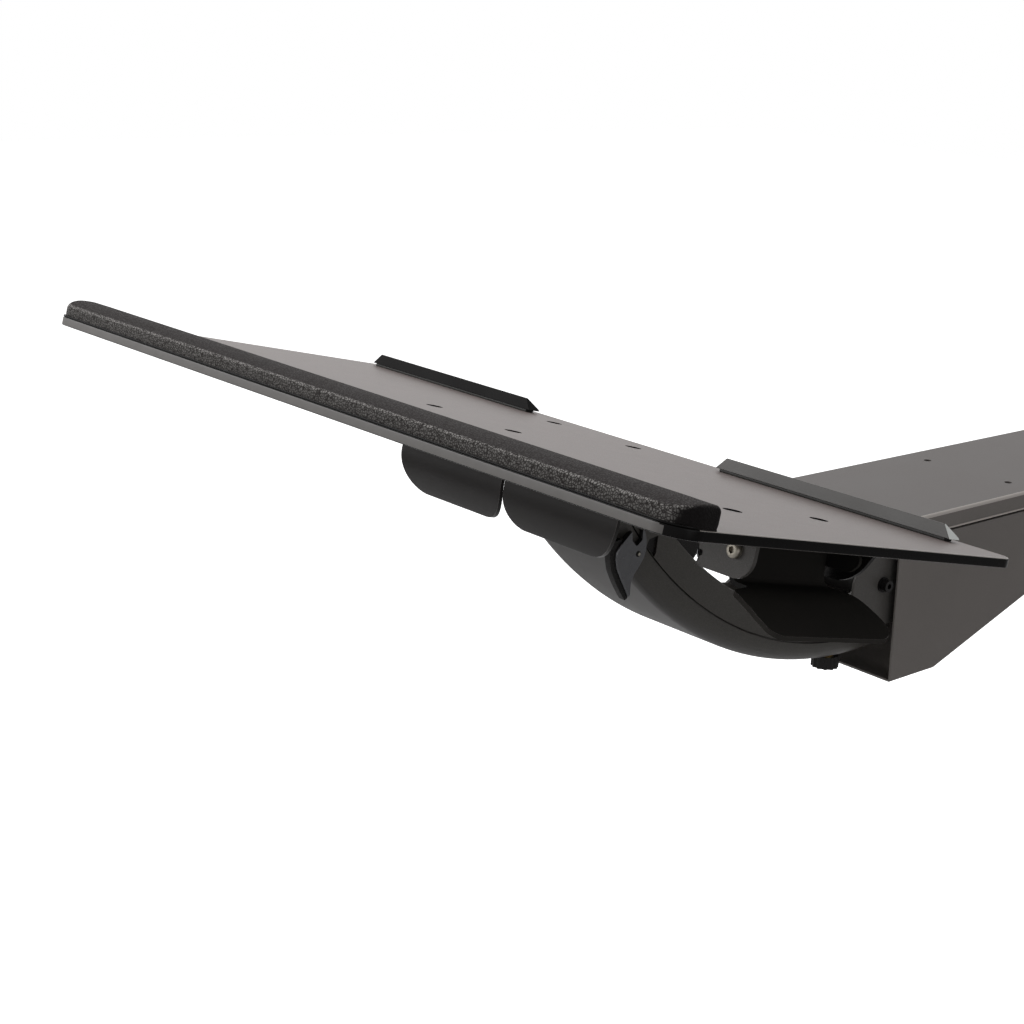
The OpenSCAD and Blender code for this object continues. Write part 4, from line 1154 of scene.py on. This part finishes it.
lever_spots = [on_tray(v.co) for v in side_lever().data.vertices]
print("Side lever from", [round(min(p[i] for p in lever_spots), 1) for i in range(3)],
      "to", [round(max(p[i] for p in lever_spots), 1) for i in range(3)])

# %% Side lever: lugs on its two pivot screws
LUG_OUTLINE = [(264.5, -13.0), (284.0, -11.5), (292.5, -20.0), (284.0, -28.5), (264.5, -29.0)]
LUG_RADII = (3.0, 6.0, 3.0)
LUG_THICK = 2.8


def lever_lug(y):
    bm = bmesh.new()
    verts = [bm.verts.new((x, y, z)) for x, z in LUG_OUTLINE]
    bm.faces.new(verts)
    round_corners(bm, verts[1:4], LUG_RADII, 5)
    thickened(bm, (0, LUG_THICK, 0))
    to_metres(bm)
    ease(bm, sharp_edges(bm, 60), 0.4)
    return finish_piece(bm, "side_lever_lug_%d" % y, abs_gloss, "side_lever", (), TRAY, 40)


print("Lever lugs", [lever_lug(y).name for y in (116, 218)])

# %% [markdown]
# ## Lever bracket
#
# The front ear of the bracket is in the light and grey. The rear one is in the shade and is
# painted near black as shade. The front ear is trimmed clear of the lever's flange, and the
# rear one leans inwards, both by moving their vertices.

# %% Lever bracket
EARS_BELOW = -9.5
FRONT_EAR_BEFORE, REAR_EAR_BEHIND = 116.0, 200.0
FRONT_EAR_LEFT_OF, FRONT_EAR_TRIM = 254.0, 6.4
REAR_EAR_RIGHT_OF, REAR_EAR_LEAN = 284.0, -0.6
SHADE_BEHIND = 117.0


def lever_bracket():
    bm = merged_copy("lever_bracket")
    for vert in bm.verts:
        x, y, z = on_tray(vert.co)
        if z < EARS_BELOW and y < FRONT_EAR_BEFORE and x < FRONT_EAR_LEFT_OF:
            vert.co += TRAY_RIGHT * FRONT_EAR_TRIM * MM
        if z < EARS_BELOW and y > REAR_EAR_BEHIND and x > REAR_EAR_RIGHT_OF:
            vert.co += TRAY_RIGHT * REAR_EAR_LEAN * (EARS_BELOW - z) * MM
    ease(bm, sharp_edges(bm), 0.4)
    for face in bm.faces:
        # faces of the rear ear are painted near black as shade
        face.material_index = 1 if on_tray(face.calc_center_median()).y > SHADE_BEHIND else 0
    return finish_piece(bm, "lever_bracket_eased", [coat_light, coat_shade_black], "tray", ["lever_bracket"])


print(lever_bracket().name)

# %% [markdown]
# ## Small fittings
#
# Screws, shafts, bushes, rivets and the collar are right as the CAD has them, and only need
# their metal.

# %% Small fittings
FITTINGS = {
    "cheek_rivets": zinc, "pivot_shaft": ground_steel, "pivot_screws": black_oxide,
    "spring_drum": abs_matt, "pivot_bushes": brass, "tilt_shaft": ground_steel, "tilt_nuts": zinc,
    "strap_screws": zinc, "knob_collar": brass, "tilt_bushes": brass, "hinge_rod": ground_steel,
}
for node, finish in FITTINGS.items():
    paint(node, finish)
print(len(FITTINGS), "fittings have their metal")

# %% [markdown]
# ## Screws that show
#
# The board's flat heads sit a little below its face, so each shows as a dark ring round a
# dished head with a hexagon socket. The lever turns on two shoulder screws with domed zinc
# heads. One helper makes any such screw: a short rod for the head, its rim rounded into a
# dome, the cap taken off and joined by bridging to a six-sided ring, and that ring sunk to
# make the socket.

# %% Screws
SOCKET_DEPTH = 0.55


def screw(head_mm, height_mm, dome_mm, key_mm, shank_mm, length_mm):
    """Head on the plane z=0 with its shank below it. Sizes in mm."""
    bm = bmesh.new()
    rod(bm, head_mm / 2, height_mm, (0, 0, height_mm / 2), segments=36)
    top = [e for e in bm.edges if all(v.co.z > height_mm - 0.01 for v in e.verts)]
    bevelled(bm, top, dome_mm, 6)
    cap = max(bm.faces, key=lambda f: (f.calc_center_median().z, len(f.verts)))
    ring = cap.edges[:]
    bmesh.ops.delete(bm, geom=[cap], context="FACES_ONLY")
    key = bmesh.ops.create_circle(bm, cap_ends=False, segments=6, radius=key_mm / 2 / math.cos(math.pi / 6),
                                  matrix=Matrix.Translation((0, 0, height_mm)))["verts"]
    key_edges = list({e for v in key for e in v.link_edges})
    bmesh.ops.bridge_loops(bm, edges=ring + key_edges)
    sunk = bmesh.ops.extrude_edge_only(bm, edges=key_edges)["geom"]
    sunk_verts = [g for g in sunk if isinstance(g, bmesh.types.BMVert)]
    bmesh.ops.translate(bm, vec=(0, 0, -SOCKET_DEPTH * height_mm), verts=sunk_verts)
    bmesh.ops.contextual_create(bm, geom=[g for g in sunk if isinstance(g, bmesh.types.BMEdge)])
    rod(bm, shank_mm / 2, length_mm, (0, 0, -length_mm / 2))
    bmesh.ops.recalc_face_normals(bm, faces=bm.faces)
    return bm


def place_screws(name, places, material, replaces, sizes):
    """One piece with the same screw at several places on the tray."""
    whole = bmesh.new()
    for place in places:
        one = screw(**sizes)
        bmesh.ops.transform(one, matrix=place, verts=one.verts)
        mesh = bpy.data.meshes.new("screw")
        one.to_mesh(mesh)
        one.free()
        whole.from_mesh(mesh)
        bpy.data.meshes.remove(mesh)
    to_metres(whole)
    print(name, "at", [[round(v, 1) for v in place.translation] for place in places])
    return finish_piece(whole, name, material, "tray", replaces, TRAY, 35)


# %% Screws in their places
PIVOT_X, PIVOT_Z = 284.0, -20.0
FLAT_HEAD_Z = -2.35
FLAT_HEAD = {"head_mm": 11.7, "height_mm": 1.5, "dome_mm": 0.3, "key_mm": 4.0, "shank_mm": 5.0,
             "length_mm": 8.3}
SHOULDER = {"head_mm": 10.0, "height_mm": 3.9, "dome_mm": 2.0, "key_mm": 4.0, "shank_mm": 5.0,
            "length_mm": 7.4}
STOP_SCREW = {"head_mm": 8.0, "height_mm": 2.5, "dome_mm": 0.6, "key_mm": 3.0, "shank_mm": 5.0,
              "length_mm": 9.0}


def at(x, y, z):
    return Matrix.Translation((x, y, z))


place_screws("board_screws_socket", [at(x, y, FLAT_HEAD_Z) for x in (-70, 20) for y in (156, 271)],
             black_oxide, ["board_screws"], FLAT_HEAD)
place_screws("lever_board_screws_socket", [at(266, y, FLAT_HEAD_Z) for y in (121.5, 200)],
             black_oxide, ["lever_board_screws"], FLAT_HEAD)
place_screws("lever_shoulder_screws",
             [at(PIVOT_X, 112, PIVOT_Z) @ TO_FRONT, at(PIVOT_X, 226, PIVOT_Z) @ TO_REAR],
             zinc_aged, ["lever_screws"], SHOULDER)
place_screws("lever_stop_screw", [at(254.6, 118.0, -29.0) @ TO_FRONT], zinc_strap, (), STOP_SCREW)

# %% [markdown]
# ## Studio
#
# A pale floor well below the object, a white surround, and three large soft lamps: one in
# front and to the left, one from above, and a weak one from the right. The surround is white
# to the camera and to reflections, and dimmer as a light, so that dark pieces keep their
# colour.

# %% Floor and surround
FLOOR_HALF, FLOOR_Z = 9.0, -0.62
FLOOR_GREY = (0.78, 0.78, 0.78, 1.0)
WHITE = (1.0, 1.0, 1.0, 1.0)
SURROUND_LIGHT = 0.3


def floor():
    bm = bmesh.new()
    bmesh.ops.create_grid(bm, x_segments=2, y_segments=2, size=FLOOR_HALF, matrix=at(0, 0, FLOOR_Z))
    mesh = bpy.data.meshes.new("floor")
    bm.to_mesh(mesh)
    bm.free()
    material, tree = new_material("studio_floor")
    ray = add(tree, "ShaderNodeLightPath").outputs["Is Camera Ray"]
    matt = add(tree, "ShaderNodeBsdfDiffuse", {"Color": FLOOR_GREY})
    glow = add(tree, "ShaderNodeEmission", {"Color": WHITE, "Strength": ray})
    both = add(tree, "ShaderNodeAddShader", {0: matt.outputs["BSDF"], 1: glow.outputs["Emission"]})
    add(tree, "ShaderNodeOutputMaterial", {"Surface": both.outputs["Shader"]})
    mesh.materials.append(material)
    piece = bpy.data.objects.new("floor", mesh)
    bpy.context.collection.objects.link(piece)
    return piece


def surround():
    world = bpy.data.worlds.new("studio")
    bpy.context.scene.world = world
    world.use_nodes = True
    tree = world.node_tree
    tree.nodes.clear()
    path = add(tree, "ShaderNodeLightPath").outputs
    clear = add(tree, "ShaderNodeMath", {
        0: path["Is Camera Ray"], 1: path["Is Transmission Ray"]}, operation="MAXIMUM")
    seen = add(tree, "ShaderNodeMath", {
        0: clear.outputs["Value"], 1: path["Is Glossy Ray"]}, operation="MAXIMUM")
    dim = add(tree, "ShaderNodeBackground", {"Color": WHITE, "Strength": SURROUND_LIGHT})
    white = add(tree, "ShaderNodeBackground", {"Color": WHITE, "Strength": 1.0})
    both = add(tree, "ShaderNodeMixShader", {
        0: seen.outputs["Value"], 1: dim.outputs[0], 2: white.outputs[0]})
    add(tree, "ShaderNodeOutputWorld", {"Surface": both.outputs["Shader"]})
    return world


print(floor().name, "and", surround().name)

# %% Lamps
def lamp(name, place, towards, size, watts):
    light = bpy.data.lights.new(name, "AREA")
    light.shape = "RECTANGLE"
    light.size, light.size_y = size
    light.energy = watts
    piece = bpy.data.objects.new(name, light)
    bpy.context.collection.objects.link(piece)
    piece.location = place
    piece.rotation_euler = (Vector(towards) - Vector(place)).to_track_quat("-Z", "Y").to_euler()
    print(name, watts, "W")
    return piece


AIM = (0.0, -0.4, 0.0)
lamp("front_left_softbox", (-1.6, -2.2, 1.1), AIM, (1.8, 1.2), 46)
lamp("top_softbox", (-1.1, 0.3, 2.0), AIM, (1.8, 1.6), 27)
lamp("right_fill", (2.6, -0.6, 0.7), AIM, (1.2, 1.6), 8)

# %% View settings
bpy.context.scene.view_settings.view_transform = "Standard"
